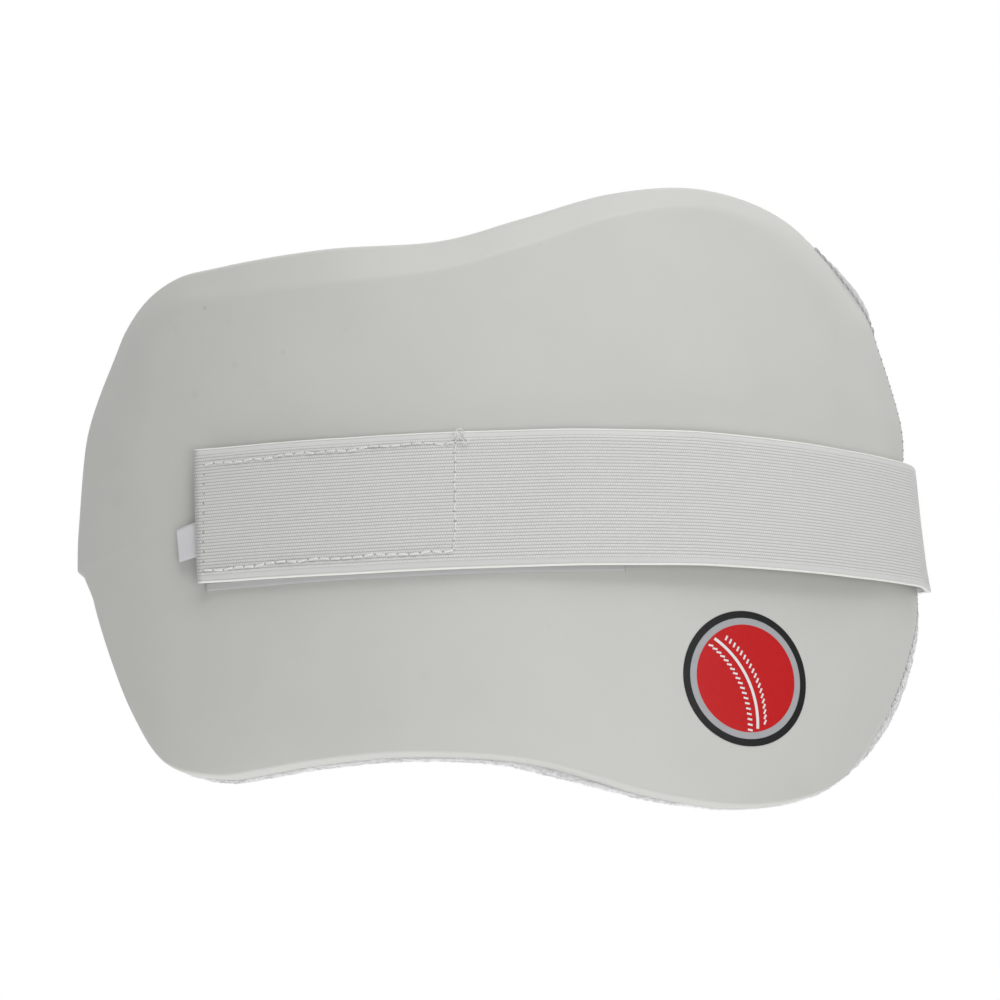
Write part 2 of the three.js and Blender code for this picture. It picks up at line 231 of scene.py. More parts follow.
KNOT_PLACE = (-22.4, 21.6)
KNOT_LOOPS = (            # size, how three-cornered, where the loop starts and its shift along s and y
    (2.5, 0.34, 0.4, 0.0, 0.0),
    (1.7, 0.30, 2.3, 0.6, -0.5),
    (1.5, 0.38, 4.1, -0.7, -0.4),
    (1.0, 0.25, 5.5, 0.1, 0.9),
)
KNOT_TURN, KNOT_POINTS, KNOT_SIDES = 5.6, 34, 5
KNOT_RADIUS, KNOT_LIFT, KNOT_ARCH, KNOT_ARCHES = 0.2, 0.15, 0.4, 1.5

# Printed badge, a plain ball emblem
BADGE_PLACE = np.array([76.2, -64.8])
BADGE_RINGS = (           # outer and inner radius and steps of the black, grey and red inks
    (24.5, 21.9, 2),
    (21.9, 19.5, 2),
    (19.5, 0.01, 16),
)
BADGE_SIDES = 96
BADGE_RAISE, SEAM_RAISE = 0.12, 0.18
SEAM_RADIUS, SEAM_REACH = 34.0, 18.9              # of the white seam's curve, and half its height
SEAM_TILT = math.radians(24)
SEAM_POINTS, SEAM_SHARE = 40, 0.93
SEAM_WIDTH, DASH_WIDTH = 1.1, 0.7
DASH_OFFSET = 3.4         # of each row of stitches from the seam
DASH_LEAN = (0.75, 0.55)

NOISE_CELLS = 256
NOISE_SHIFT = 500         # keeps places on the noise positive
random.seed(7)
noise_table = np.random.default_rng(11).random((NOISE_CELLS, NOISE_CELLS))


def bend(s, y, h):
    """Points in the frame, in metres, for places on the flat pattern."""
    angle = np.asarray(s, float) / BEND_RADIUS
    radius = BEND_RADIUS + np.asarray(h, float)
    flat_y = np.broadcast_to(np.asarray(y, float), np.broadcast(angle, radius).shape)
    return np.stack([radius * np.sin(angle), flat_y, radius * np.cos(angle)], axis=-1) * MM + SHIFT


def frame_shift():
    """How the frame's origin lies from the bend's axis, read from the loop patch's box."""
    low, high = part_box("loop_patch")
    left, right, bottom, _ = LOOP_PATCH
    right_x = (BEND_RADIUS + LOOP_LOW + PATCH_THICK) * math.sin(right / BEND_RADIUS)
    left_z = (BEND_RADIUS + LOOP_LOW) * math.cos(left / BEND_RADIUS)
    return np.array([high.x, low.y, low.z]) - np.array([right_x, bottom, left_z]) * MM


SHIFT = frame_shift()


def smoothstep(x, low, high):
    share = np.clip((np.asarray(x, float) - low) / (high - low), 0, 1)
    return share * share * (3 - 2 * share)


def lattice_noise(s, y, pitch):
    """Smooth noise from 0 to 1 with bumps about one pitch wide."""
    a = np.asarray(s, float) / pitch + NOISE_SHIFT
    b = np.asarray(y, float) / pitch + NOISE_SHIFT
    i, j = np.floor(a).astype(int), np.floor(b).astype(int)
    fa, fb = smoothstep(a - i, 0, 1), smoothstep(b - j, 0, 1)

    def corner(di, dj):
        return noise_table[(i + di) % NOISE_CELLS, (j + dj) % NOISE_CELLS]

    near = corner(0, 0) * (1 - fa) + corner(1, 0) * fa
    far = corner(0, 1) * (1 - fa) + corner(1, 1) * fa
    return near * (1 - fb) + far * fb


def pairs(first, second):
    """Two arrays as one list of flat places."""
    return np.stack(np.broadcast_arrays(first, second), axis=-1).reshape(-1, 2)


def unit_way(path):
    """Direction of a path at each of its points."""
    way = np.gradient(path, axis=0)
    return way / np.linalg.norm(way, axis=1)[:, None]


def run_along(path):
    """Distance from the start of a path at each of its points."""
    return np.concatenate([[0], np.cumsum(np.linalg.norm(np.diff(path, axis=0), axis=1))])


def closed_curve(rows, steps):
    """Centripetal Catmull-Rom curve through the rows, with the same number of steps in each span."""
    now = np.array(rows, float)
    before, after, later = np.roll(now, 1, 0), np.roll(now, -1, 0), np.roll(now, -2, 0)

    def knot(a, b):
        return np.sqrt(np.linalg.norm((b - a)[:, :2], axis=1))[:, None]

    d0, d1, d2 = knot(before, now), knot(now, after), knot(after, later)
    leave = ((now - before) / d0 - (after - before) / (d0 + d1) + (after - now) / d1) * d1
    arrive = ((after - now) / d1 - (later - now) / (d1 + d2) + (later - after) / d2) * d1
    square = -3 * now + 3 * after - 2 * leave - arrive
    cube = 2 * now - 2 * after + leave + arrive
    t = (np.arange(steps) / steps)[None, :, None]
    curve = now[:, None] + leave[:, None] * t + square[:, None] * t ** 2 + cube[:, None] * t ** 3
    return curve.reshape(-1, now.shape[1])


class Outline:
    """Samples round the pad, each with its way in to the spine."""

    def __init__(self, steps):
        rows = closed_curve(OUTLINE, steps)
        self.edge = rows[:, :2].copy()
        self.bevel, self.flange = rows[:, 2], np.maximum(rows[:, 3], LEAST_FLANGE)
        self.soft, self.blunt = np.clip(rows[:, 4:6].T, 0, 1)
        curling = smoothstep(self.edge[:, 0], *CURL_S)
        self.curl = RIM_CURL * np.maximum(self.flange - RIM_FLAT, 0) * curling
        ramp = np.clip((TAB_TOP - self.edge[:, 1]) / (TAB_TOP - TAB_BOTTOM), 0, 1)
        step = smoothstep(self.edge[:, 1], TAB_BOTTOM - TAB_STEP, TAB_BOTTOM)
        tail = smoothstep(self.edge[:, 1], TAB_BOTTOM - TAB_TAIL, TAB_BOTTOM)
        cut = step + (tail - step) * TAB_TAIL_SHARE
        self.edge[:, 0] -= np.where(self.edge[:, 0] < SPINE_START[0], TAB_OUT * ramp ** 2 * cut, 0)
        way = SPINE_END - SPINE_START
        share = np.clip((self.edge - SPINE_START) @ way / (way @ way), 0, 1)
        foot = SPINE_START + share[:, None] * way
        self.reach = np.linalg.norm(foot - self.edge, axis=1)
        self.inward = (foot - self.edge) / self.reach[:, None]
        gaps = np.linalg.norm(np.diff(self.edge, axis=0, append=self.edge[:1]), axis=1)
        self.length = gaps.sum()
        self.along = np.concatenate([[0], np.cumsum(gaps)[:-1]])
        self.crease = self.flange + self.bevel

    def place(self, inset):
        return self.edge + self.inward * np.broadcast_to(inset, self.reach.shape)[:, None]

    def field_place(self, share):
        """Flat places at a share of the way in from the crease to the spine."""
        return self.place(self.crease + share * (self.reach - self.crease))

    def at(self, distance, inset):
        """Flat place at a distance along the edge, set in from the foam's edge, and a reader of columns."""
        distance = np.asarray(distance, float) % self.length

        def read(values):
            return np.interp(distance, np.append(self.along, self.length), np.append(values, values[0]))

        depth = read(self.flange) + inset
        s = read(self.edge[:, 0]) + read(self.inward[:, 0]) * depth
        y = read(self.edge[:, 1]) + read(self.inward[:, 1]) * depth
        return s, y, read

    def seam_height(self, read):
        """Height of the foam's border along the seam."""
        return slope_height(EDGE_STITCH_INSET, read(self.bevel), read(self.soft), read(self.blunt))

    def rim_rise(self, depth):
        """How far the towelling springs and curls up past the foam at a depth from its edge."""
        spring = RIM_SPRING * smoothstep(self.flange - depth, *SPRING_REACH)
        return spring + self.curl * np.clip(1 - depth / self.flange, 0, 1) ** CURL_POWER


# Waves of the foam's face, by height and length along s and y, and a bulge near its upper right corner
LONG_WAVE, LONG_WAVE_S, LONG_WAVE_Y = 0.1, 23, 31
SHORT_WAVE, SHORT_WAVE_S, SHORT_WAVE_Y = 0.05, 11, 17
WAVE_START_S, WAVE_START_Y = 1.3, 0.4
BULGE_S, BULGE_Y, BULGE_WIDTH, BULGE_HEIGHT = 148.5, 80.5, 5.0, 0.7


def foam_waves(s, y):
    """Unevenness of the foam's face."""
    wave = LONG_WAVE * np.sin(s / LONG_WAVE_S + WAVE_START_S) * np.cos(y / LONG_WAVE_Y + WAVE_START_Y)
    wave = wave + SHORT_WAVE * np.sin(s / SHORT_WAVE_S - y / SHORT_WAVE_Y)
    bulge = np.exp(-((s - BULGE_S) ** 2 + (y - BULGE_Y) ** 2) / BULGE_WIDTH ** 2)
    return wave + BULGE_HEIGHT * bulge


CREASE_KNEE = 0.14        # share of a creased slope that is rounded
CREASE_RIDGE = 0.25       # height of the soft ridge along a crease
RIDGE_WIDTH = 4
EDGE_DROP = 6.6           # from the face to the top of a creased border's edge
SOFT_DROP = 8.0           # the same where the foam is rounded off to a thin edge
EDGE_ROUND = 3.0          # radius of a creased border's edge
SOFT_ROUND = 1.2
EDGE_LEAST = 0.15
SIDE_WIDTH = 1.9          # how far in the steep side of a blunt border reaches


def slope_height(depth, bevel, soft, blunt):
    """Height of the foam's border at a depth in from its edge."""
    out = np.clip(1 - depth / bevel, 0, 1)
    knee = CREASE_KNEE + (1 - CREASE_KNEE) * soft
    fall = np.where(out < knee, out ** 2 / (2 * knee), out - knee / 2)
    steep = np.clip(1 - depth / SIDE_WIDTH, 0, 1) ** 2
    whole_drop = EDGE_DROP + (SOFT_DROP - EDGE_DROP) * soft
    drop = whole_drop * ((1 - blunt) * fall / (1 - knee / 2) + blunt * steep)
    radius = EDGE_ROUND + (SOFT_ROUND - EDGE_ROUND) * soft
    missing = np.clip(radius - depth, 0, radius)
    rounded = radius - np.sqrt(radius ** 2 - missing ** 2)
    return np.maximum(SHELL_FRONT - drop - rounded, SHELL_BACK + EDGE_LEAST)


def middle_triangles(flat):
    """Triangles across an innermost ring, laid from its right end to its left between its long sides."""
    found = []
    upper, lower = 0, len(flat) - 1
    while lower - upper > 1:
        if flat[upper + 1, 0] > flat[lower - 1, 0]:
            found.append((upper, upper + 1, lower))
            upper += 1
        else:
            found.append((upper, lower - 1, lower))
            lower -= 1
    return found


def make_piece(name, points, faces, pattern, materials, slot):
    """Smooth mesh object that rides on the guard, with its flat-pattern places as a UV map."""
    mesh = bpy.data.meshes.new(name)
    mesh.from_pydata(np.asarray(points).tolist(), [], faces)
    layer = mesh.uv_layers.new(name="pattern")
    corners = np.empty(len(mesh.loops), dtype=np.int32)
    mesh.loops.foreach_get("vertex_index", corners)
    layer.uv.foreach_set("vector", np.asarray(pattern, np.float32)[corners].ravel())
    for material in materials:
        mesh.materials.append(material)
    mesh.polygons.foreach_set("use_smooth", [True] * len(mesh.polygons))
    mesh.validate()
    piece = bpy.data.objects.new(name, mesh)
    bpy.context.scene.collection.objects.link(piece)
    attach(piece, "root")
    return piece


def ring_faces(rings, count, flip=False):
    """Quads between closed rings of the same count, turned the other way out when flipped."""
    faces = []
    for k in range(rings - 1):
        here, there = k * count, (k + 1) * count
        for i in range(count):
            j = (i + 1) % count
            if flip:
                faces.append((here + i, here + j, there + j, there + i))
            else:
                faces.append((here + i, there + i, there + j, here + j))
    return faces


def tube_faces(rings, count):
    """Faces of a tube with flat ends."""
    faces = ring_faces(rings, count, flip=True)
    faces.append(tuple(range(count - 1, -1, -1)))
    faces.append(tuple(range((rings - 1) * count, rings * count)))
    return faces


def pad_piece(name, outline, rings, material, slot):
    """Closed pad over rings of (flat places, heights), from the front's middle over the edge to the back."""
    count = len(outline.edge)
    flat = np.concatenate([place for place, _ in rings])
    heights = np.concatenate([np.broadcast_to(height, count) for _, height in rings])
    points = bend(flat[:, 0], flat[:, 1], heights)
    faces = ring_faces(len(rings), count)
    last = (len(rings) - 1) * count
    faces.extend(middle_triangles(rings[0][0]))
    for a, b, c in middle_triangles(rings[-1][0]):
        faces.append((last + a, last + c, last + b))
    return make_piece(name, points, faces, flat, [material], slot)


class Shader:
    """A Principled material with short ways to add and join nodes."""

    def __init__(self, name, **sockets):
        self.material = bpy.data.materials.new(name)
        self.material.use_nodes = True
        self.tree = self.material.node_tree
        self.surface = self.tree.nodes["Principled BSDF"]
        for socket, value in sockets.items():
            self.surface.inputs[socket.replace("_", " ")].default_value = value

    def node(self, kind, inputs=(), **settings):
        made = self.tree.nodes.new("ShaderNode" + kind)
        for key, value in settings.items():
            setattr(made, key, value)
        for key, value in dict(inputs).items():
            self.feed(made.inputs[key], value)
        return made

    def feed(self, socket, value):
        if isinstance(value, bpy.types.NodeSocket):
            self.tree.links.new(value, socket)
        else:
            socket.default_value = value

    def math(self, operation, a, b=0.0, clamp=False):
        return self.node("Math", {0: a, 1: b}, operation=operation, use_clamp=clamp).outputs[0]

    def plus(self, a, b):
        return self.math("ADD", a, b)

    def minus(self, a, b):
        return self.math("SUBTRACT", a, b)

    def times(self, a, b):
        return self.math("MULTIPLY", a, b)

    def size(self, a):
        return self.math("ABSOLUTE", a)

    def wave(self, a):
        return self.math("SINE", a)

    def pattern(self):
        """The flat-pattern place, in millimetres."""
        return self.node("UVMap", uv_map="pattern").outputs[0]

    def split(self):
        """The flat-pattern place's two measures."""
        made = self.node("SeparateXYZ", {0: self.pattern()})
        return made.outputs[0], made.outputs[1]

    def gap(self, place, middle):
        """Distance from a place on the pattern."""
        return self.node("VectorMath", {0: place, 1: middle}, operation="DISTANCE").outputs["Value"]

    def noise(self, place, scale, detail=2.0, roughness=0.5):
        inputs = {"Vector": place, "Scale": scale, "Detail": detail, "Roughness": roughness}
        return self.node("TexNoise", inputs).outputs["Fac"]

    def cells(self, place, scale, randomness, feature):
        """Distance from the middle of each of many small cells."""
        inputs = {"Vector": place, "Scale": scale, "Randomness": randomness}
        return self.node("TexVoronoi", inputs, feature=feature).outputs["Distance"]

    def span(self, value, given, wanted=(0.0, 1.0)):
        """Maps one range to another, held at both ends."""
        inputs = {0: value, 1: given[0], 2: given[1], 3: wanted[0], 4: wanted[1]}
        return self.node("MapRange", inputs, clamp=True).outputs[0]

    def mix(self, share, a, b):
        return self.node("Mix", {0: share, 6: a, 7: b}, data_type="RGBA").outputs[2]

    def bump(self, height, distance):
        return self.node("Bump", {"Height": height, "Distance": distance, "Strength": 1.0}).outputs[0]

    def finish(self, colour, roughness, normal=None):
        for socket, value in (("Base Color", colour), ("Roughness", roughness), ("Normal", normal)):
            if value is not None:
                self.feed(self.surface.inputs[socket], value)
        return self.material


def grey(level, red=1.0, green=1.0, blue=1.0):
    return (level * red, level * green, level * blue, 1)


# Tints of the greys: red, green, blue
SKIN_TINT = (0.995, 1.0, 0.955)
DIRT_AND_SHADE_TINT = (1.0, 0.99, 0.96)
TOWEL_TINT = (1.0, 0.985, 1.0)
YARN_TINT = (1.0, 0.99, 1.0)
RIB_TINT = (1.0, 1.0, 0.985)
CORD_TINT = (1.0, 1.0, 0.95)
VALLEY_TINT = (1.0, 1.0, 0.99)
LABEL_TINT = (0.99, 0.99, 1.02)
INK_TINT = (0.98, 1.0, 1.04)

# Scuffs on the skin, then painted shade along the right-hand edge and in a row along the upper right seam:
# s, y, radius, strength
SKIN_MARKS_AND_SHADE = (
    (-114.3, 81.7, 1.2, 0.22),
    (-61.4, 66.4, 1.6, 0.05),
    (-84.1, 60.2, 1.3, 0.14),
    (-102.4, 57.5, 1.5, 0.08),
    (-118.3, 48.1, 2.2, 0.09),
    (-152.5, 12.5, 5.0, 0.04),
    (8.5, 96.8, 1.4, 0.06),
    (5.5, -46, 1.2, 0.05),
    (-126.5, 75.5, 1.6, 0.06),
    (-104.5, 74.5, 2.2, 0.05),
    # Painted shade: the right-hand edge darkened, then a row of spots along the upper right seam
    (178, 42, 30, 0.15),
    (172, 62, 28, 0.15),
    (165, 80, 22, 0.10),
    (157.9, 85.7, 5.0, 0.30),
    (154.9, 89.4, 5.0, 0.30),
    (151.5, 92.6, 5.0, 0.30),
    (148.0, 95.6, 5.0, 0.30),
    (144.5, 98.4, 5.0, 0.30),
    (140.3, 101.0, 4.5, 0.25),
)
MARK_CORE = 0.2          # share of a mark's radius, scuff or painted shade, that is evenly dark
DIRT_AND_SHADE_STRENGTH = 1.6
SHADED_CORNER = (156, 99, 0)      # middle of the painted shade on the towelling's upper right corner
SHADED_CORNER_REACH, SHADED_CORNER_SHARE = (14.0, 30.0), 0.45


def skin_material():
    """Smooth satin synthetic leather with faint scuffs, painted shade along its right-hand edge and upper
    right seam, and a fine grain.
    """
    shader = Shader("shell_skin", Specular_IOR_Level=0.4, IOR=1.45)
    place = shader.pattern()
    mottle = shader.noise(place, scale=0.03, detail=3.0)
    colour = shader.mix(mottle, grey(0.56, *SKIN_TINT), grey(0.60, *SKIN_TINT))
    scuff_and_shade_marks = None
    for s, y, radius, strength in SKIN_MARKS_AND_SHADE:
        scuff_or_shade_mark = shader.span(shader.gap(place, (s, y, 0)), (MARK_CORE * radius, radius), (strength, 0.0))
        scuff_and_shade_marks = scuff_or_shade_mark if scuff_and_shade_marks is None else shader.math("MAXIMUM", scuff_and_shade_marks, scuff_or_shade_mark)
    blotches = shader.noise(place, scale=0.09, detail=4.0, roughness=0.6)
    smears = shader.span(blotches, (0.62, 0.8), (0.0, 0.025))
    # Scuffs, painted shade and smears darken the skin
    dirt_and_shade = shader.plus(shader.times(scuff_and_shade_marks, shader.noise(place, scale=0.9, detail=3.0)), smears)
    share = shader.math("MULTIPLY", dirt_and_shade, DIRT_AND_SHADE_STRENGTH, clamp=True)
    colour = shader.mix(share, colour, grey(0.16, *DIRT_AND_SHADE_TINT))
    gloss = shader.span(shader.noise(place, scale=0.12, detail=3.0), (0.3, 0.7), (0.40, 0.50))
    return shader.finish(colour, gloss, shader.bump(shader.noise(place, scale=1.6), 0.02 * MM))


def towel_material():
    """White looped towelling, a little lilac, with painted shade between its loops and on its upper right
    corner.
    """
    shader = Shader("towelling", Sheen_Weight=0.3, Sheen_Roughness=0.6, Specular_IOR_Level=0.15)
    place = shader.pattern()
    loops = shader.cells(place, scale=0.8, randomness=0.85, feature="SMOOTH_F1")
    fibre = shader.noise(place, scale=2.6, detail=3.0, roughness=0.65)
    height = shader.plus(shader.times(loops, -1.0), shader.times(fibre, 0.4))
    soil = shader.noise(place, scale=0.04, detail=3.0)
    pale = shader.mix(soil, grey(0.86, *TOWEL_TINT), grey(0.92, *TOWEL_TINT))
    # Painted shade in the hollows between the loops
    colour = shader.mix(shader.span(loops, (0.2, 0.8)), pale, grey(0.72, *TOWEL_TINT))
    # Painted shade on the upper right corner
    corner_shade = shader.span(shader.gap(place, SHADED_CORNER), SHADED_CORNER_REACH, (SHADED_CORNER_SHARE, 0.0))
    colour = shader.mix(corner_shade, colour, grey(0.5, *TOWEL_TINT))
    return shader.finish(colour, shader.span(fibre, (0.2, 0.8), (0.9, 1.0)), shader.bump(height, 0.2 * MM))


WEAVE_CELL = 0.88         # length of a cell of the elastic's weave
# Painted shade in the rib valleys, the weave's pits, the grooves beside each cord and on the band
VALLEY_SHADE, PIT_SHADE, GROOVE_SHADE, BAND_SHADE = 0.67, 0.3, 0.45, 0.22
CORD_EDGE = (0.4, 0.7)    # where the edge's cord gives way to the band


def elastic_material():
    """Ribbed woven elastic: ribs lie along u, cells of the weave alternate from rib to rib, with painted
    shade in its hollows.
    """
    shader = Shader("elastic", Sheen_Weight=0.15, Sheen_Roughness=0.5, Specular_IOR_Level=0.25)
    along, across = shader.split()
    ribs = shader.math("DIVIDE", shader.plus(across, STRAP_HALF - RIB_START), RIB_PITCH)
    turn = shader.times(shader.math("FLOOR", ribs), math.pi)
    middle = shader.size(shader.minus(shader.math("FRACT", ribs), 0.5))
    inner = shader.minus(STRAP_HALF, shader.size(across))
    ribbed = shader.span(inner, (RIB_START - 0.2, RIB_START + 0.2))
    cells = shader.wave(shader.plus(shader.times(along, 2 * math.pi / WEAVE_CELL), turn))
    fibre = shader.noise(shader.pattern(), scale=2.2, detail=3.0, roughness=0.6)
    valley = shader.times(shader.span(middle, (0.26, 0.46)), ribbed)
    pits = shader.times(shader.span(cells, (-1.0, 0.2), (PIT_SHADE, 0.0)), ribbed)
    groove = shader.span(shader.size(shader.minus(inner, SELVEDGE)), (0.1, 0.35), (GROOVE_SHADE, 0.0))
    dark = shader.plus(shader.times(valley, VALLEY_SHADE), pits)
    dark = shader.math("ADD", dark, groove, clamp=True)
    band = shader.times(shader.minus(1.0, ribbed), shader.span(inner, CORD_EDGE, (0.0, BAND_SHADE)))
    dark = shader.math("MAXIMUM", dark, band)
    face = shader.mix(fibre, grey(0.69, *RIB_TINT), grey(0.765, *RIB_TINT))
    cord = shader.mix(fibre, grey(0.84, *CORD_TINT), grey(0.90, *CORD_TINT))
    body = shader.mix(shader.span(inner, CORD_EDGE), cord, face)
    colour = shader.mix(dark, body, grey(0.38, *VALLEY_TINT))
    height = shader.plus(shader.times(shader.times(cells, ribbed), 0.35), shader.times(fibre, 0.5))
    return shader.finish(colour, shader.span(fibre, (0.2, 0.8), (0.7, 0.85)), shader.bump(height, 0.12 * MM))


def tape_material(name, place_on, selvedge, pale, dark, scale, relief):
    """Fastening tape: a short pile or a field of hooks between two smooth woven edges."""
    shader = Shader(name, Sheen_Weight=0.2, Specular_IOR_Level=0.2)
    place = shader.pattern()
    cells = shader.cells(place, scale, randomness=0.6, feature="F1")
    fibre = shader.noise(place, scale=3.0, detail=4.0, roughness=0.7)
    _, _, bottom, top = place_on
    _, across = shader.split()
    off_middle = shader.size(shader.minus(across, (bottom + top) / 2))
    limit = (top - bottom) / 2 - selvedge
    piled = shader.span(off_middle, (limit - 0.3, limit + 0.3), (1.0, 0.0))
    shade = shader.times(shader.span(cells, (0.2, 0.7)), piled)
    colour = shader.mix(shader.math("ADD", shade, shader.times(fibre, 0.12), clamp=True), pale, dark)
    height = shader.times(shader.minus(fibre, cells), piled)
    return shader.finish(colour, shader.span(fibre, (0.2, 0.8), (0.8, 0.95)), shader.bump(height, relief))


WARP_PITCH, WEFT_PITCH = 0.3, 0.35


def label_material():
    """Satin tape with a fine crossed weave."""
    shader = Shader("label_satin", Specular_IOR_Level=0.4, Sheen_Weight=0.1)
    along, across = shader.split()
    warp = shader.wave(shader.times(along, 2 * math.pi / WARP_PITCH))
    weft = shader.wave(shader.times(across, 2 * math.pi / WEFT_PITCH))
    weave = shader.times(warp, weft)
    colour = shader.mix(shader.span(weave, (-1.0, 1.0)), grey(0.68, *LABEL_TINT), grey(0.78, *LABEL_TINT))
    gloss = shader.span(shader.noise(shader.pattern(), scale=0.6), (0.3, 0.7), (0.42, 0.55))
    return shader.finish(colour, gloss, shader.bump(weave, 0.03 * MM))


THREAD_TWIST = 0.55       # length of one turn of a thread's plies


def thread_material(name, dark, pale):
    """Twisted sewing thread; u runs along it."""
    shader = Shader(name, Sheen_Weight=0.1, Specular_IOR_Level=0.35)
    along, around = shader.split()
    ply = shader.wave(shader.plus(shader.times(along, 2 * math.pi / THREAD_TWIST), around))
    colour = shader.mix(shader.span(ply, (-1.0, 1.0)), dark, pale)
    return shader.finish(colour, shader.span(ply, (-1.0, 1.0), (0.7, 0.5)), shader.bump(ply, 0.05 * MM))


def hole_material(name, dark, pale):
    """Painted shade inside a needle hole, also used along the furrow under a stitch."""
    shader = Shader(name, Specular_IOR_Level=0.1)
    shade = shader.noise(shader.pattern(), scale=1.7)
    return shader.finish(shader.mix(shade, dark, pale), shader.span(shade, (0.2, 0.8), (0.85, 1.0)))


def print_material(name, first, second):
    """Printed film of one ink, with slight unevenness and a soft gloss."""
    shader = Shader(name, Specular_IOR_Level=0.45)
    place = shader.pattern()
    blotch = shader.noise(place, scale=0.35, detail=4.0, roughness=0.6)
    gloss = shader.span(shader.noise(place, scale=0.8), (0.3, 0.7), (0.32, 0.44))
    grain = shader.bump(shader.noise(place, scale=1.6), 0.02 * MM)
    return shader.finish(shader.mix(blotch, first, second), gloss, grain)


# Lines of the foam pad: shares of the field and of the slope, then depth and height under the edge
SHELL_STEPS = 32
FIELD_SHARES = 0.95 * np.linspace(1, 0.08, 24) ** 1.7
SLOPE_SHARES = np.append(np.linspace(1, 0.3, 15), 0.3 * np.cos(np.linspace(0.15, 1, 14) * np.pi / 2))
UNDER_EDGE = ((0.15, 0.05), (0.7, 0.0))
BACK_SHARES = np.linspace(0.0, 0.95, 6)
SEAM_EASE = 6             # how far before the first stitch the skin starts to be drawn down
FURROW_WIDTH = 1.1        # of the dip along the seam
SEAM_SINK, STITCH_SINK = 0.15, 0.35
SKIN_LEAST = 0.1


def build_shell():
    """Foam pad: flat field, sloped border pulled down at each stitch, rounded edge and plain back."""
    outline = Outline(SHELL_STEPS)
    sewn = smoothstep(outline.edge[:, 0], STITCH_FROM_S - SEAM_EASE, STITCH_FROM_S)
    pull = np.cos(2 * np.pi * outline.along / EDGE_STITCH_PITCH) * 0.5 + 0.5
    crest = CREASE_RIDGE * (1 - outline.soft)
    rings = []
    for share in FIELD_SHARES:
        place = outline.field_place(share)
        ridge = crest * np.exp(-share * (outline.reach - outline.crease) / RIDGE_WIDTH)
        rings.append((place, SHELL_FRONT + foam_waves(*place.T) + ridge))
    for share in SLOPE_SHARES:
        depth = share * outline.bevel
        place = outline.place(outline.flange + depth)
        near_seam = sewn * np.exp(-((depth - EDGE_STITCH_INSET) / FURROW_WIDTH) ** 2)
        height = slope_height(depth, outline.bevel, outline.soft, outline.blunt)
        height -= near_seam * (SEAM_SINK + STITCH_SINK * pull)
        ridge = crest * np.clip(2 * share - 1, 0, 1)
        waves = share * foam_waves(*place.T)
        rings.append((place, np.maximum(height, SHELL_BACK + SKIN_LEAST) + waves + ridge))
    for depth, height in UNDER_EDGE:
        rings.append((outline.place(outline.flange + depth), SHELL_BACK + height))
    for share in BACK_SHARES:
        rings.append((outline.field_place(share), SHELL_BACK))
    piece = pad_piece("foam_shell", outline, rings, skin_material(), "shell_skin")
    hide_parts("shell")


# Lines of the lining: under the foam, depths near the rim, turns round the rim and shares of the back
LINING_STEPS = 26
UNDER_FOAM = (0.95, 0.5, 0.1)
RIM_DEPTHS = (7.0, 5.0, 3.6, 2.8, 2.3, 1.9)
RIM_TURNS = np.linspace(0.85, -0.75, 9) * np.pi / 2
LINING_BACK = np.append([0.012, 0.025], np.linspace(0.04, 0.96, 56))
RIM_TOP = LINING_THICK - 0.1
FLUFF, FLUFF_SINK, FLUFF_PITCH = 0.4, 0.7, 1.1
RIM_INSET, RIM_ROUGH, RIM_ROUGH_PITCH = 0.2, 0.3, 1.9
BACK_BUMP, BACK_BUMP_PITCH = 0.35, 2.6


def build_lining(material):
    """Towelling slab with a rounded, uneven rim and a bumpy back."""
    outline = Outline(LINING_STEPS)
    rough = lattice_noise(outline.along, np.zeros_like(outline.along), RIM_ROUGH_PITCH) - 0.5
    rings = []
    for share in UNDER_FOAM:
        rings.append((outline.field_place(share), LINING_THICK))
    for depth in RIM_DEPTHS:
        place = outline.place(depth)
        fluff = FLUFF * (lattice_noise(*place.T, FLUFF_PITCH) - FLUFF_SINK) * (outline.flange > depth)
        rings.append((place, RIM_TOP + fluff + outline.rim_rise(depth)))
    for turn in RIM_TURNS:
        depth = RIM_INSET + RIM_ROUGH * rough + RIM_ROUND * (1 - np.cos(turn))
        reach_up = RIM_TOP - RIM_MIDDLE if turn > 0 else RIM_MIDDLE
        rings.append((outline.place(depth), RIM_MIDDLE + reach_up * np.sin(turn) + outline.rim_rise(depth)))
    for share in LINING_BACK:
        depth = share * outline.reach
        place = outline.place(depth)
        rings.append((place, BACK_BUMP * lattice_noise(*place.T, BACK_BUMP_PITCH) + outline.rim_rise(depth)))
    piece = pad_piece("towel_lining", outline, rings, material, "towelling")
    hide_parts("lining")
    return piece, outline


def tube(path, radius, sides=6):
    """Points, faces and pattern places of a thin tube with closed, tapered ends."""
    way = unit_way(path)
    helper = np.where(np.abs(way[:, 2:]) < NEARLY_UPRIGHT, [[0.0, 0.0, 1.0]], [[1.0, 0.0, 0.0]])
    first = np.cross(way, helper)
    first /= np.linalg.norm(first, axis=1)[:, None]
    second = np.cross(way, first)
    turn = np.linspace(0, 2 * np.pi, sides, endpoint=False)
    width = np.full(len(path), radius)
    width[[0, -1]] *= TUBE_TIP
    around = first[:, None] * np.cos(turn)[None, :, None] + second[:, None] * np.sin(turn)[None, :, None]
    points = (path[:, None] + around * width[:, None, None]).reshape(-1, 3)
    places = pairs(run_along(path)[:, None] / MM, turn[None])
    return points, tube_faces(len(path), sides), places


def joined(parts):
    """Several (points, faces, places) as one."""
    points, faces, places, start = [], [], [], 0
    for part_points, part_faces, part_places in parts:
        points.append(part_points)
        places.append(part_places)
        faces.extend(tuple(start + i for i in face) for face in part_faces)
        start += len(part_points)
    return np.concatenate(points), faces, np.concatenate(places)


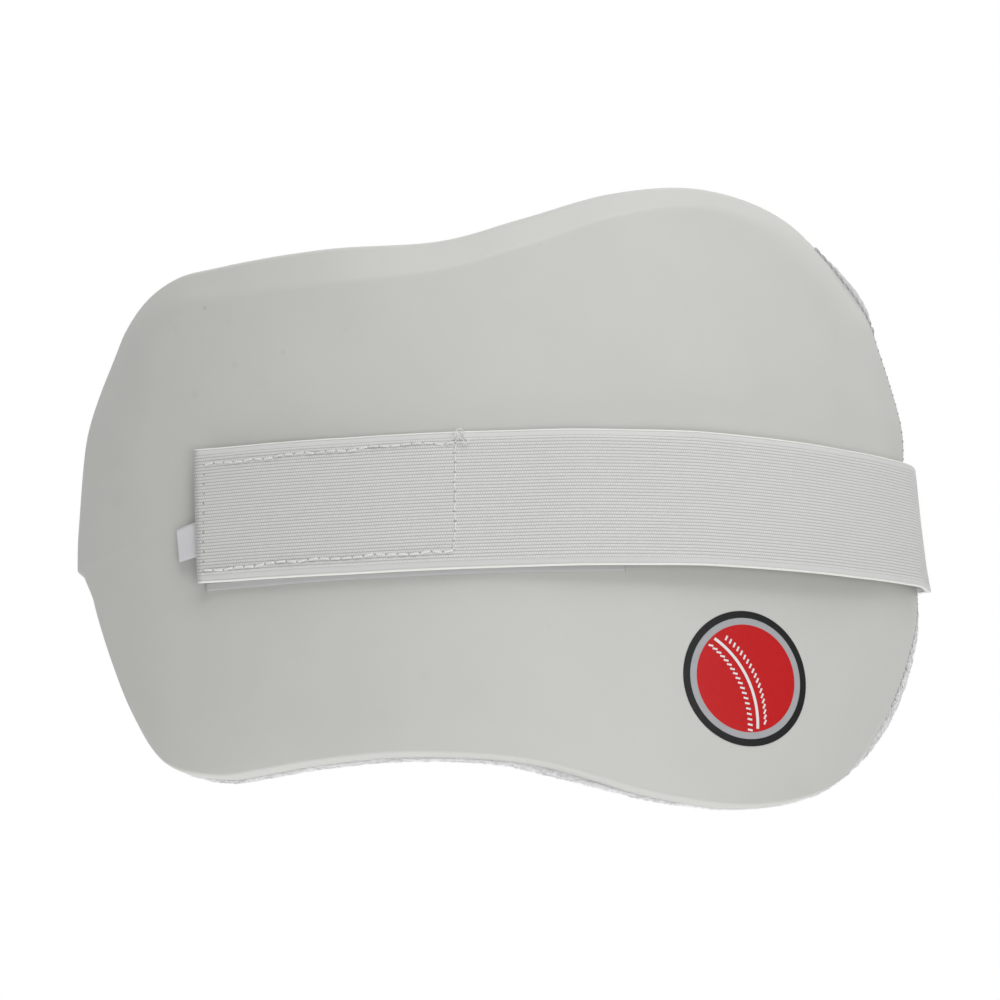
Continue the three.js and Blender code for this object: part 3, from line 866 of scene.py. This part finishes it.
def build_pile(outline, material):
    """Short loops of towelling that stand up from the lining's rim where it shows past the foam."""
    loops = []
    turn = np.linspace(0, np.pi, LOOP_POINTS)
    for distance in np.arange(0, outline.length, PILE_STEP):
        s, y, read = outline.at(distance, 0.0)
        flange = read(outline.flange)
        under_strap = abs(s) > UNDER_STRAP_S and UNDER_STRAP_Y[0] < y < UNDER_STRAP_Y[1]
        if flange < PILE_LEAST_FLANGE or under_strap or y > PILE_TOP_Y:
            continue
        for _ in range(int(np.ceil(flange))):
            share = random.uniform(*LOOP_PLACE)
            twist = random.uniform(*LOOP_TWIST)
            spread = random.uniform(*LOOP_SPREAD)
            tall = random.uniform(*LOOP_TALL)
            depth = np.clip(share * flange + twist * np.cos(turn), LOOP_LEAST_DEPTH, None)
            base_s, base_y, _ = outline.at(distance + spread * np.cos(turn), depth - flange)
            rise = RIM_SPRING + read(outline.curl) * np.clip(1 - depth / flange, 0, 1) ** CURL_POWER
            root = LOOP_ROOT + LOOP_RIM_ROOT * np.clip(1 - depth / RIM_ROUND, 0, 1) ** 2
            path = bend(base_s, base_y, LINING_THICK - root + rise + tall * np.sin(turn))
            loops.append(tube(path, random.uniform(*LOOP_RADIUS) * MM, LOOP_SIDES))
    return make_piece("towel_pile", *joined(loops), [material], "towelling")


def build_edge_stitches(outline, thread, shaded_thread, hole):
    """Stitches through the foam's thin edge round the right-hand end, with painted shade at the holes
    between them; near the upper right corner the thread is thick and dark as painted shade of the seam's
    groove.
    """
    count = round(outline.length / EDGE_STITCH_PITCH)
    pitch = outline.length / count
    half = np.linspace(-EDGE_STITCH_HALF, EDGE_STITCH_HALF, EDGE_STITCH_POINTS)
    arch = EDGE_STITCH_ARCH * np.sin(np.linspace(0, np.pi, EDGE_STITCH_POINTS))
    stitches, shaded, holes = [], [], []
    for k in range(count):
        s, y, read = outline.at((k + 0.5 + half) * pitch, EDGE_STITCH_INSET)
        if s.min() < (STITCH_FROM_S if y.min() > 0 else LOW_STITCH_FROM_S):
            continue
        seam = outline.seam_height(read) + arch
        hole_s, hole_y, read_hole = outline.at(k * pitch, EDGE_STITCH_INSET)
        hole_h = outline.seam_height(read_hole) - EDGE_HOLE_SINK
        # Painted shade of the needle hole
        holes.append(disc(hole_s, hole_y, hole_h, random.uniform(*EDGE_HOLE_RADIUS)))
        # Thick dark thread as painted shade in the seam's groove
        if y.min() > UPPER_SEAM_Y:
            shaded.append(tube(bend(s, y, seam - SHADED_THREAD_SINK), SHADED_THREAD_RADIUS * MM))
        else:
            stitches.append(tube(bend(s, y, seam - EDGE_THREAD_SINK), EDGE_THREAD_RADIUS * MM))
    make_piece("edge_stitches", *joined(stitches), [thread], "towelling")
    make_piece("corner_stitches_and_shade", *joined(shaded), [shaded_thread], "towelling")
    make_piece("edge_holes", *joined(holes), [hole], None)


def disc(s, y, h, radius, sides=8):
    """Small rounded cap on the flat pattern."""
    turn = np.linspace(0, 2 * np.pi, sides, endpoint=False)
    flat_s = np.append(s + radius * np.cos(turn), [s, s])
    flat_y = np.append(y + radius * np.sin(turn), [y, y])
    heights = np.append(np.full(sides, h), [h + CAP_HEIGHT, h - CAP_HEIGHT])
    faces = []
    for i in range(sides):
        j = (i + 1) % sides
        faces.append((i, j, sides))
        faces.append((j, i, sides + 1))
    return bend(flat_s, flat_y, heights), faces, pairs(flat_s, flat_y)


def bezier(start, leave, arrive, end, steps):
    t = np.linspace(0, 1, steps)[:, None]
    return (1 - t) ** 3 * start + 3 * (1 - t) ** 2 * t * leave + 3 * (1 - t) * t ** 2 * arrive + t ** 3 * end


def arc(centre, radius, start, end, steps):
    turn = np.linspace(start, end, steps)
    return np.array(centre) + radius * np.stack([np.cos(turn), np.sin(turn)], axis=-1)


def strap_path(outline):
    """Middle line of the strap in x and z, in millimetres, evenly spaced from its sewn to its free end."""
    half = STRAP_THICK / 2
    floor_z = (BEND_RADIUS * np.cos(outline.edge[:, 0] / BEND_RADIUS)).min() - RIM_CLEARANCE - half
    fold_centre = (FOLD_X, floor_z + FOLD_RADIUS)
    sewn_radius = BEND_RADIUS - SEWN_GAP - half

    def polar(s):
        return np.pi / 2 - s / BEND_RADIUS

    def along(s):
        return np.array([math.sin(polar(s)), -math.cos(polar(s))])

    sewn = arc((0, 0), sewn_radius, polar(SEWN_START_S), polar(SEWN_END_S), SEWN_STEPS)
    landing = np.array([LOWER_RUN_X, floor_z])
    drop = bezier(sewn[-1], sewn[-1] + along(SEWN_END_S) * DROP_PULL_SEWN,
                  landing - np.array([DROP_PULL_FLOOR, 0]), landing, DROP_STEPS)
    lower = np.linspace(landing, [FOLD_X, floor_z], LOWER_STEPS)
    fold_end = FOLD_TURN - np.pi / 2
    fold = arc(fold_centre, FOLD_RADIUS, -np.pi / 2, fold_end, FOLD_STEPS)
    front_s = np.linspace(FRONT_S[-1], STRAP_END_S, FRONT_STEPS)
    slow = np.interp(front_s, FRONT_S, FRONT_LIFT)
    kernel = np.hanning(LIFT_SMOOTHING) / np.hanning(LIFT_SMOOTHING).sum()
    lift = np.convolve(np.pad(slow, LIFT_SMOOTHING // 2, mode="edge"), kernel, mode="valid")
    radius = BEND_RADIUS + SHELL_FRONT + lift + half
    front = radius[:, None] * pairs(np.sin(front_s / BEND_RADIUS), np.cos(front_s / BEND_RADIUS))
    rise_way = np.array([-math.sin(fold_end), math.cos(fold_end)])
    rise = bezier(fold[-1], fold[-1] + rise_way * RISE_PULL_FOLD,
                  front[0] + along(FRONT_S[-1]) * RISE_PULL_FRONT, front[0], RISE_STEPS)
    path = np.concatenate([sewn, drop[1:], lower[1:], fold[1:], rise[1:], front[1:]])
    run = run_along(path)
    even = np.linspace(0, run[-1], STRAP_STEPS)
    spaced = pairs(np.interp(even, run, path[:, 0]), np.interp(even, run, path[:, 1]))
    fold_from = run[len(sewn) + len(drop) + len(lower) - 3]
    fold_to = fold_from + FOLD_RADIUS * FOLD_TURN
    return spaced, even, fold_from, fold_to


def strap_relief(v):
    """Depth of the strap's face below its crests: selvedge cord, smooth band, then ribs."""
    inner = STRAP_HALF - np.abs(v)
    rib = np.mod((v + STRAP_HALF - RIB_START) / RIB_PITCH, 1) * 2 - 1
    ribs = RIB_DEPTH * rib ** 2
    band = BAND_DEPTH + CORD_GROOVE * np.exp(-((inner - SELVEDGE) / CORD_GROOVE_WIDTH) ** 2)
    band += RIB_GROOVE * np.exp(-((inner - RIB_START) / RIB_GROOVE_WIDTH) ** 2)
    cord = CORD_ROUND * (2 * inner / SELVEDGE - 1) ** 2
    return np.where(inner > RIB_START, ribs, np.where(inner > SELVEDGE, band, cord))


def strap_section():
    """Points round the strap's section: across it and out of its middle, outer face first."""
    ribs_end = STRAP_HALF - RIB_START
    corner = STRAP_HALF - STRAP_ROUND * (1 - np.cos(np.linspace(0, 1, STRAP_ROUND_STEPS) * np.pi / 2))
    selvedge = np.linspace(STRAP_HALF - BAND_FROM, ribs_end, BAND_STEPS)[1:]
    side = np.concatenate([corner, selvedge])

    def face(step, relief):
        middle = np.arange(-STRAP_HALF + RIB_START, ribs_end, step)[1:]
        v = np.concatenate([-side, middle, side[::-1]])
        beyond = np.clip(np.abs(v) - STRAP_HALF + STRAP_ROUND, 0, STRAP_ROUND) / STRAP_ROUND
        round_off = np.sqrt(np.clip(1 - beyond ** 2, 0, 1))
        return v, (STRAP_THICK / 2 - relief * strap_relief(v)) * round_off

    outer_v, outer_w = face(RIB_PITCH / 4, 1.0)
    inner_v, inner_w = face(RIB_PITCH / 2, UNDERSIDE_RELIEF)
    v = np.concatenate([outer_v, inner_v[::-1][1:-1]])
    w = np.concatenate([outer_w, -inner_w[::-1][1:-1]])
    return v, w


def build_strap(outline, material):
    """Ribbed elastic from the sewn end, under the guard, round its edge and over the front."""
    path, run, fold_from, fold_to = strap_path(outline)
    way = unit_way(path)
    out = np.stack([way[:, 1], -way[:, 0]], axis=-1)
    v, w = strap_section()
    across = v[None, :]
    lower = run < fold_from
    slant = np.where(lower, (FOLD_X - path[:, 0]) / (FOLD_X - path[0, 0]), 0)
    front_s = BEND_RADIUS * np.arctan2(path[:, 0], path[:, 1])
    bow = np.where(lower, BOW_Y[-1] * (1 - slant), np.interp(front_s, BOW_S, BOW_Y))
    shift_y = SEWN_SHIFT_Y * slant + bow
    left_over = run[-1] - run
    end_skew = END_SKEW * smoothstep(left_over, END_SKEW_REACH, 0)
    slide = end_skew[:, None] * across
    fold_middle = fold_from + FOLD_MIDDLE * (fold_to - fold_from)
    fold_near = np.exp(-((run - fold_middle) / FOLD_REACH) ** 2)[:, None]
    sag = EDGE_DROOP + (FREE_DROOP - EDGE_DROOP) * smoothstep(front_s, *DROOP_S)
    sag *= smoothstep(run - fold_to, *DROOP_AFTER_FOLD) * smoothstep(left_over, *DROOP_BEFORE_END)
    rise = w[None] - sag[:, None] * smoothstep(np.abs(across), DROOP_START, STRAP_HALF)
    lean = fold_near * (FOLD_SKEW * across + FOLD_SHIFT)
    x = path[:, :1] + out[:, :1] * rise + way[:, :1] * slide - lean
    z = path[:, 1:] + out[:, 1:] * rise + way[:, 1:] * slide
    pinch = FOLD_PINCH * smoothstep(across, STRAP_HALF / 2, STRAP_HALF)
    tuck = FOLD_TUCK * smoothstep(-across, STRAP_HALF / 2, STRAP_HALF)
    y = shift_y[:, None] + across + fold_near * (tuck - pinch)
    points = (np.stack([x, y, z], axis=-1) * MM + SHIFT).reshape(-1, 3)
    faces = tube_faces(STRAP_STEPS, len(v))
    piece = make_piece("elastic_strap", points, faces, pairs(run[:, None], across), [material], "elastic")
    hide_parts("strap")


def build_tape(name, place, low, steps, material, slot, node):
    """Thin tape on the bend with softened edges and a slightly uneven face."""
    left, right, bottom, top = place
    steps_s, steps_y = steps
    line_s, line_y = np.linspace(left, right, steps_s), np.linspace(bottom, top, steps_y)
    grid_s, grid_y = np.meshgrid(line_s, line_y, indexing="ij")
    sides = np.minimum(grid_y - bottom, top - grid_y)
    inner = np.minimum(np.minimum(grid_s - left, right - grid_s), sides)
    soften = TAPE_SOFTEN * np.exp(-inner / TAPE_SOFTEN_WIDTH)
    pile = smoothstep(sides, *TAPE_PILE_EDGE)
    rough = TAPE_ROUGH * pile * lattice_noise(grid_s, grid_y, TAPE_ROUGH_PITCH)
    face = low + PATCH_THICK - soften - TAPE_PILE_HEIGHT * (1 - pile) - rough
    upper = bend(grid_s, grid_y, face).reshape(-1, 3)
    lower = bend(grid_s, grid_y, np.full(grid_s.shape, low)).reshape(-1, 3)
    half = len(upper)
    faces = []
    for i in range(steps_s - 1):
        for j in range(steps_y - 1):
            a, b = i * steps_y + j, (i + 1) * steps_y + j
            faces.append((a, b, b + 1, a + 1))
            faces.append((half + a, half + a + 1, half + b + 1, half + b))
    index = np.arange(half).reshape(steps_s, steps_y)
    rim = np.concatenate([index[:, 0], index[-1, 1:], index[-2::-1, -1], index[0, -2:0:-1]]).tolist()
    for a, b in zip(rim, rim[1:] + rim[:1]):
        faces.append((a, half + a, half + b, b))
    points = np.concatenate([upper, lower])
    flat = np.tile(pairs(grid_s, grid_y), (2, 1))
    piece = make_piece(name, points, faces, flat, [material], slot)
    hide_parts(node)


def build_label(material):
    """Tag folded over at its free end: two layers that meet in a small round fold and droop a little."""
    left, right, bottom, top = LABEL
    fold_s = left + LABEL_FOLD
    upper, lower = np.linspace(right, fold_s, LABEL_STEPS), np.linspace(fold_s, right, LABEL_STEPS)
    turn = np.linspace(np.pi / 2, 3 * np.pi / 2, LABEL_FOLD_STEPS)[1:-1]

    def layer(radius):
        level = np.full(LABEL_STEPS, radius)
        s = np.concatenate([upper, fold_s + radius * np.cos(turn), lower])
        return s, np.concatenate([level, radius * np.sin(turn), -level])

    outer_s, outer_w = layer(LABEL_FOLD)
    inner_s, inner_w = layer(LABEL_FOLD - LABEL_LAYER)
    section_s = np.concatenate([outer_s, inner_s[::-1]])
    section_w = np.concatenate([outer_w, inner_w[::-1]])
    out = (right - section_s) / (right - left)
    rows = np.linspace(bottom, top, LABEL_ROWS)[:, None]
    share = (rows - bottom) / (top - bottom)
    grid_s = section_s - LABEL_LEAN * (share - LABEL_PIVOT) * out
    grid_y = rows - (LABEL_FALL + LABEL_LEAN * share) * out
    curl = LABEL_CURL * (share - 0.5) ** 2 - LABEL_SINK
    height = LABEL_LOW + LABEL_THICK / 2 + section_w - LABEL_DROOP * out ** 2 + curl
    points = bend(grid_s, grid_y, height).reshape(-1, 3)
    count = len(section_s)
    faces = ring_faces(LABEL_ROWS, count)
    last = (LABEL_ROWS - 1) * count
    for a in range(count // 2 - 1):
        b = count - 1 - a
        faces.append((a, a + 1, b - 1, b))
        faces.append((last + a, last + b, last + b - 1, last + a + 1))
    piece = make_piece("folded_label", points, faces, pairs(grid_s, grid_y), [material], "label_satin")
    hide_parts("label")


def stitch_row(start, end, wander):
    """Places of a row of stitches from start to end, each as its two ends."""
    start, end = np.array(start, float), np.array(end, float)
    length = np.linalg.norm(end - start)
    count = max(1, round(length / BOX_STITCH_PITCH))
    way = (end - start) / length
    side = np.array([-way[1], way[0]])
    knots = []
    for k in range(count + 1):
        knots.append(start + (end - start) * k / count + side * random.uniform(-wander, wander))
    return zip(knots[:-1], knots[1:])


def build_box_stitches(thread, hole):
    """Wandering box of stitches that holds the hook patch under the strap's free end, with painted shade at
    its holes and under its threads.
    """
    threads, shades = [], []
    t = np.linspace(*BOX_STITCH_SPAN, BOX_STITCH_POINTS)
    arch = np.sin(np.pi * t) ** BOX_STITCH_POWER
    for k, (place, wander, height, radius, bed, gape) in enumerate(BOX_CORNERS):
        next_place = BOX_CORNERS[(k + 1) % len(BOX_CORNERS)][0]
        for a, b in stitch_row(place, next_place, wander):
            s, y = (a + (b - a) * t[:, None]).T
            tall = height * random.uniform(*BOX_STITCH_UNEVEN)
            threads.append(tube(bend(s, y, STRAP_TOP - BOX_STITCH_SINK + tall * arch), radius * MM))
            hole_radius = gape * random.uniform(*BOX_HOLE_UNEVEN)
            shades.append(disc(a[0], a[1], STRAP_TOP - BOX_HOLE_SINK, hole_radius))
            # Painted shade along the furrow under the thread
            if bed:
                furrow = bend(s, y - FURROW_SHIFT, STRAP_TOP - bed * FURROW_SINK)
                shades.append(tube(furrow, bed * MM))
    make_piece("box_stitches", *joined(threads), [thread], "elastic")
    make_piece("box_holes", *joined(shades), [hole], None)


def build_knot(thread):
    """Tangle of thread ends at the box's upper right corner."""
    strands = []
    for size, corners, start, along, across in KNOT_LOOPS:
        turn = start + np.linspace(0, KNOT_TURN, KNOT_POINTS)
        reach = size * (1 + corners * np.cos(3 * (turn - np.pi / 2)))
        s = KNOT_PLACE[0] + along + reach * np.cos(turn)
        y = KNOT_PLACE[1] + across + reach * np.sin(turn)
        h = STRAP_TOP + KNOT_LIFT + KNOT_ARCH * np.abs(np.sin(KNOT_ARCHES * turn))
        strands.append(tube(bend(s, y, h), KNOT_RADIUS * MM, KNOT_SIDES))
    make_piece("thread_knot", *joined(strands), [thread], "elastic")


def badge_ring(outer, inner, steps):
    """Flat ring or disc of the badge."""
    turn = np.linspace(0, 2 * np.pi, BADGE_SIDES, endpoint=False)
    radii = np.linspace(inner, outer, steps + 1)[:, None]
    s = BADGE_PLACE[0] + radii * np.cos(turn)
    y = BADGE_PLACE[1] + radii * np.sin(turn)
    points = bend(s, y, SHELL_FRONT + foam_waves(s, y) + BADGE_RAISE).reshape(-1, 3)
    return points, ring_faces(steps + 1, BADGE_SIDES), pairs(s, y)


def badge_strip(path, width):
    """Narrow printed stripe along a path on the badge."""
    way = unit_way(path)
    side = np.stack([-way[:, 1], way[:, 0]], axis=-1) * width / 2
    flat = np.concatenate([path + side, path - side])
    count = len(path)
    points = bend(flat[:, 0], flat[:, 1], SHELL_FRONT + foam_waves(*flat.T) + SEAM_RAISE)
    faces = [(count + k, count + k + 1, k + 1, k) for k in range(count - 1)]
    return points, faces, flat


def build_badge():
    """Round emblem in black, grey and red with the sewn seam of a ball in white."""
    inks = [
        print_material("ink_black", grey(0.010), grey(0.016)),
        print_material("ink_grey", grey(0.36, *INK_TINT), grey(0.42, *INK_TINT)),
        print_material("ink_red", (0.50, 0.006, 0.008, 1), (0.56, 0.010, 0.012, 1)),
        print_material("ink_white", grey(0.72), grey(0.80)),
    ]
    parts = [badge_ring(*ring) for ring in BADGE_RINGS]
    cosine, sine = math.cos(SEAM_TILT), math.sin(SEAM_TILT)
    turn_back = np.array([[cosine, -sine], [sine, cosine]])
    half_angle = math.asin(SEAM_REACH / SEAM_RADIUS)
    angles = np.linspace(-half_angle, half_angle, SEAM_POINTS) * SEAM_SHARE
    seam = SEAM_RADIUS * pairs(np.cos(angles) - 1, np.sin(angles))
    for side in (-1, 0, 1):
        curve = seam + np.array([side * DASH_OFFSET, 0])
        if side == 0:
            parts.append(badge_strip(BADGE_PLACE + curve @ turn_back.T, SEAM_WIDTH))
            continue
        lean = np.array([side * DASH_LEAN[0], DASH_LEAN[1]])
        for middle in curve[1:-1:2]:
            dash = np.stack([middle - lean, middle + lean])
            parts.append(badge_strip(BADGE_PLACE + dash @ turn_back.T, DASH_WIDTH))
    piece = make_piece("ball_badge", *joined(parts), inks, None)
    indices = []
    for k, (_, faces, _) in enumerate(parts):
        indices.extend([min(k, len(inks) - 1)] * len(faces))
    piece.data.polygons.foreach_set("material_index", indices)


# Camera: where it stands and looks, in millimetres from the bend's axis, and its roll
CAMERA_PLACE = np.array([-72.3, -129.2, 832.0])
CAMERA_TARGET = np.array([-9.8, -0.2, 270.0])
CAMERA_ROLL = math.radians(-2.27)
CAMERA_LENS, CAMERA_SENSOR = 58.5, 36
CAMERA_NEAR = 0.01        # in metres


def build_camera():
    data = bpy.data.cameras.new("camera")
    data.sensor_width = CAMERA_SENSOR
    data.lens = CAMERA_LENS
    data.clip_start = CAMERA_NEAR
    camera = bpy.data.objects.new("camera", data)
    bpy.context.scene.collection.objects.link(camera)
    forward = Vector(CAMERA_TARGET - CAMERA_PLACE).normalized()
    right = forward.cross(Vector((0, 1, 0))).normalized()
    up = right.cross(forward)
    rolled_right = right * math.cos(CAMERA_ROLL) + up * math.sin(CAMERA_ROLL)
    rolled_up = up * math.cos(CAMERA_ROLL) - right * math.sin(CAMERA_ROLL)
    turned = Matrix((rolled_right, rolled_up, -forward)).transposed().to_4x4()
    camera.matrix_world = Matrix.Translation(Vector(CAMERA_PLACE * MM + SHIFT)) @ turned
    bpy.context.scene.camera = camera


# Soft square lights round the guard: name, azimuth and elevation in degrees, power in watts
LIGHTS = (
    ("light_near_top", 295, 75, 4.75),
    ("light_near_right", 315, 55, 2.5),
    ("light_far_right", 45, 35, 2.9),
    ("light_far", 90, 35, 7.3),
    ("light_near_left_low", 225, 12, 3.4),
    ("light_near_low", 270, 12, 5.0),
)
# Stage, in metres
LIGHT_DISTANCE = 1.2
LIGHT_WIDTH = 0.8
WORLD_LEVEL = 0.08
FLOOR_LEVEL = 1.0
FLOOR_REACH = 4.0
FLOOR_HEIGHT = -0.0004
WHITE, BLACK = (1, 1, 1, 1), (0, 0, 0, 1)


def build_stage():
    for name, azimuth, elevation, power in LIGHTS:
        data = bpy.data.lights.new(name, "AREA")
        data.size = LIGHT_WIDTH
        data.energy = power
        level = math.cos(math.radians(elevation))
        way = Vector((
            math.cos(math.radians(azimuth)) * level,
            math.sin(math.radians(azimuth)) * level,
            math.sin(math.radians(elevation)),
        ))
        lamp = bpy.data.objects.new(name, data)
        lamp.location = way * LIGHT_DISTANCE
        lamp.rotation_euler = (-way).to_track_quat("-Z", "Y").to_euler()
        bpy.context.scene.collection.objects.link(lamp)
    world = bpy.data.worlds.new("studio")
    world.use_nodes = True
    background = world.node_tree.nodes["Background"]
    background.inputs["Color"].default_value = WHITE
    background.inputs["Strength"].default_value = WORLD_LEVEL
    bpy.context.scene.world = world
    mesh = bpy.data.meshes.new("floor")
    signs = ((-1, -1), (1, -1), (1, 1), (-1, 1))
    corners = [(x * FLOOR_REACH, y * FLOOR_REACH, FLOOR_HEIGHT) for x, y in signs]
    mesh.from_pydata(corners, [], [(0, 1, 2, 3)])
    floor = bpy.data.objects.new("floor", mesh)
    paper = bpy.data.materials.new("paper")
    paper.use_nodes = True
    surface = paper.node_tree.nodes["Principled BSDF"]
    surface.inputs["Base Color"].default_value = BLACK
    surface.inputs["Specular IOR Level"].default_value = 0
    surface.inputs["Emission Color"].default_value = WHITE
    surface.inputs["Emission Strength"].default_value = FLOOR_LEVEL
    mesh.materials.append(paper)
    bpy.context.scene.collection.objects.link(floor)
    bpy.context.scene.view_settings.view_transform = "Standard"


build_camera()
build_stage()
towel = towel_material()
towel_yarn = thread_material("towel_yarn", grey(0.84, *YARN_TINT), grey(0.97, *YARN_TINT))
shell_thread = thread_material("edge_thread", grey(0.46), grey(0.60))
corner_thread_and_shade = thread_material("corner_thread_and_shade", grey(0.40), grey(0.51))
strap_thread = thread_material("box_thread", grey(0.72), grey(0.95))
# Greys of the painted shade in needle holes and in the furrows under the box's threads
edge_hole_shade = hole_material("edge_hole_shade", grey(0.33), grey(0.45))
box_hole_shade = hole_material("box_hole_shade", grey(0.36), grey(0.48))
build_shell()
towel_lining, lining_outline = build_lining(towel)
towel_pile = build_pile(lining_outline, towel_yarn)
build_edge_stitches(lining_outline, shell_thread, corner_thread_and_shade, edge_hole_shade)
build_strap(lining_outline, elastic_material())
# The loop tape's greys hold painted shade from the strap above it; the tape itself is white
loop_fabric = tape_material("loop_fabric", LOOP_PATCH, selvedge=2.4, pale=grey(0.50), dark=grey(0.41),
                            scale=1.5, relief=0.3 * MM)
hook_fabric = tape_material("hook_fabric", HOOK_PATCH, selvedge=1.6, pale=grey(0.74), dark=grey(0.42),
                            scale=0.9, relief=0.5 * MM)
build_tape("loop_tape", LOOP_PATCH, LOOP_LOW, LOOP_TAPE_STEPS, loop_fabric, "loop_fabric", "loop_patch")
build_tape("hook_tape", HOOK_PATCH, HOOK_LOW, HOOK_TAPE_STEPS, hook_fabric, "hook_fabric", "hook_patch")
build_label(label_material())
build_box_stitches(strap_thread, box_hole_shade)
build_knot(strap_thread)
build_badge()
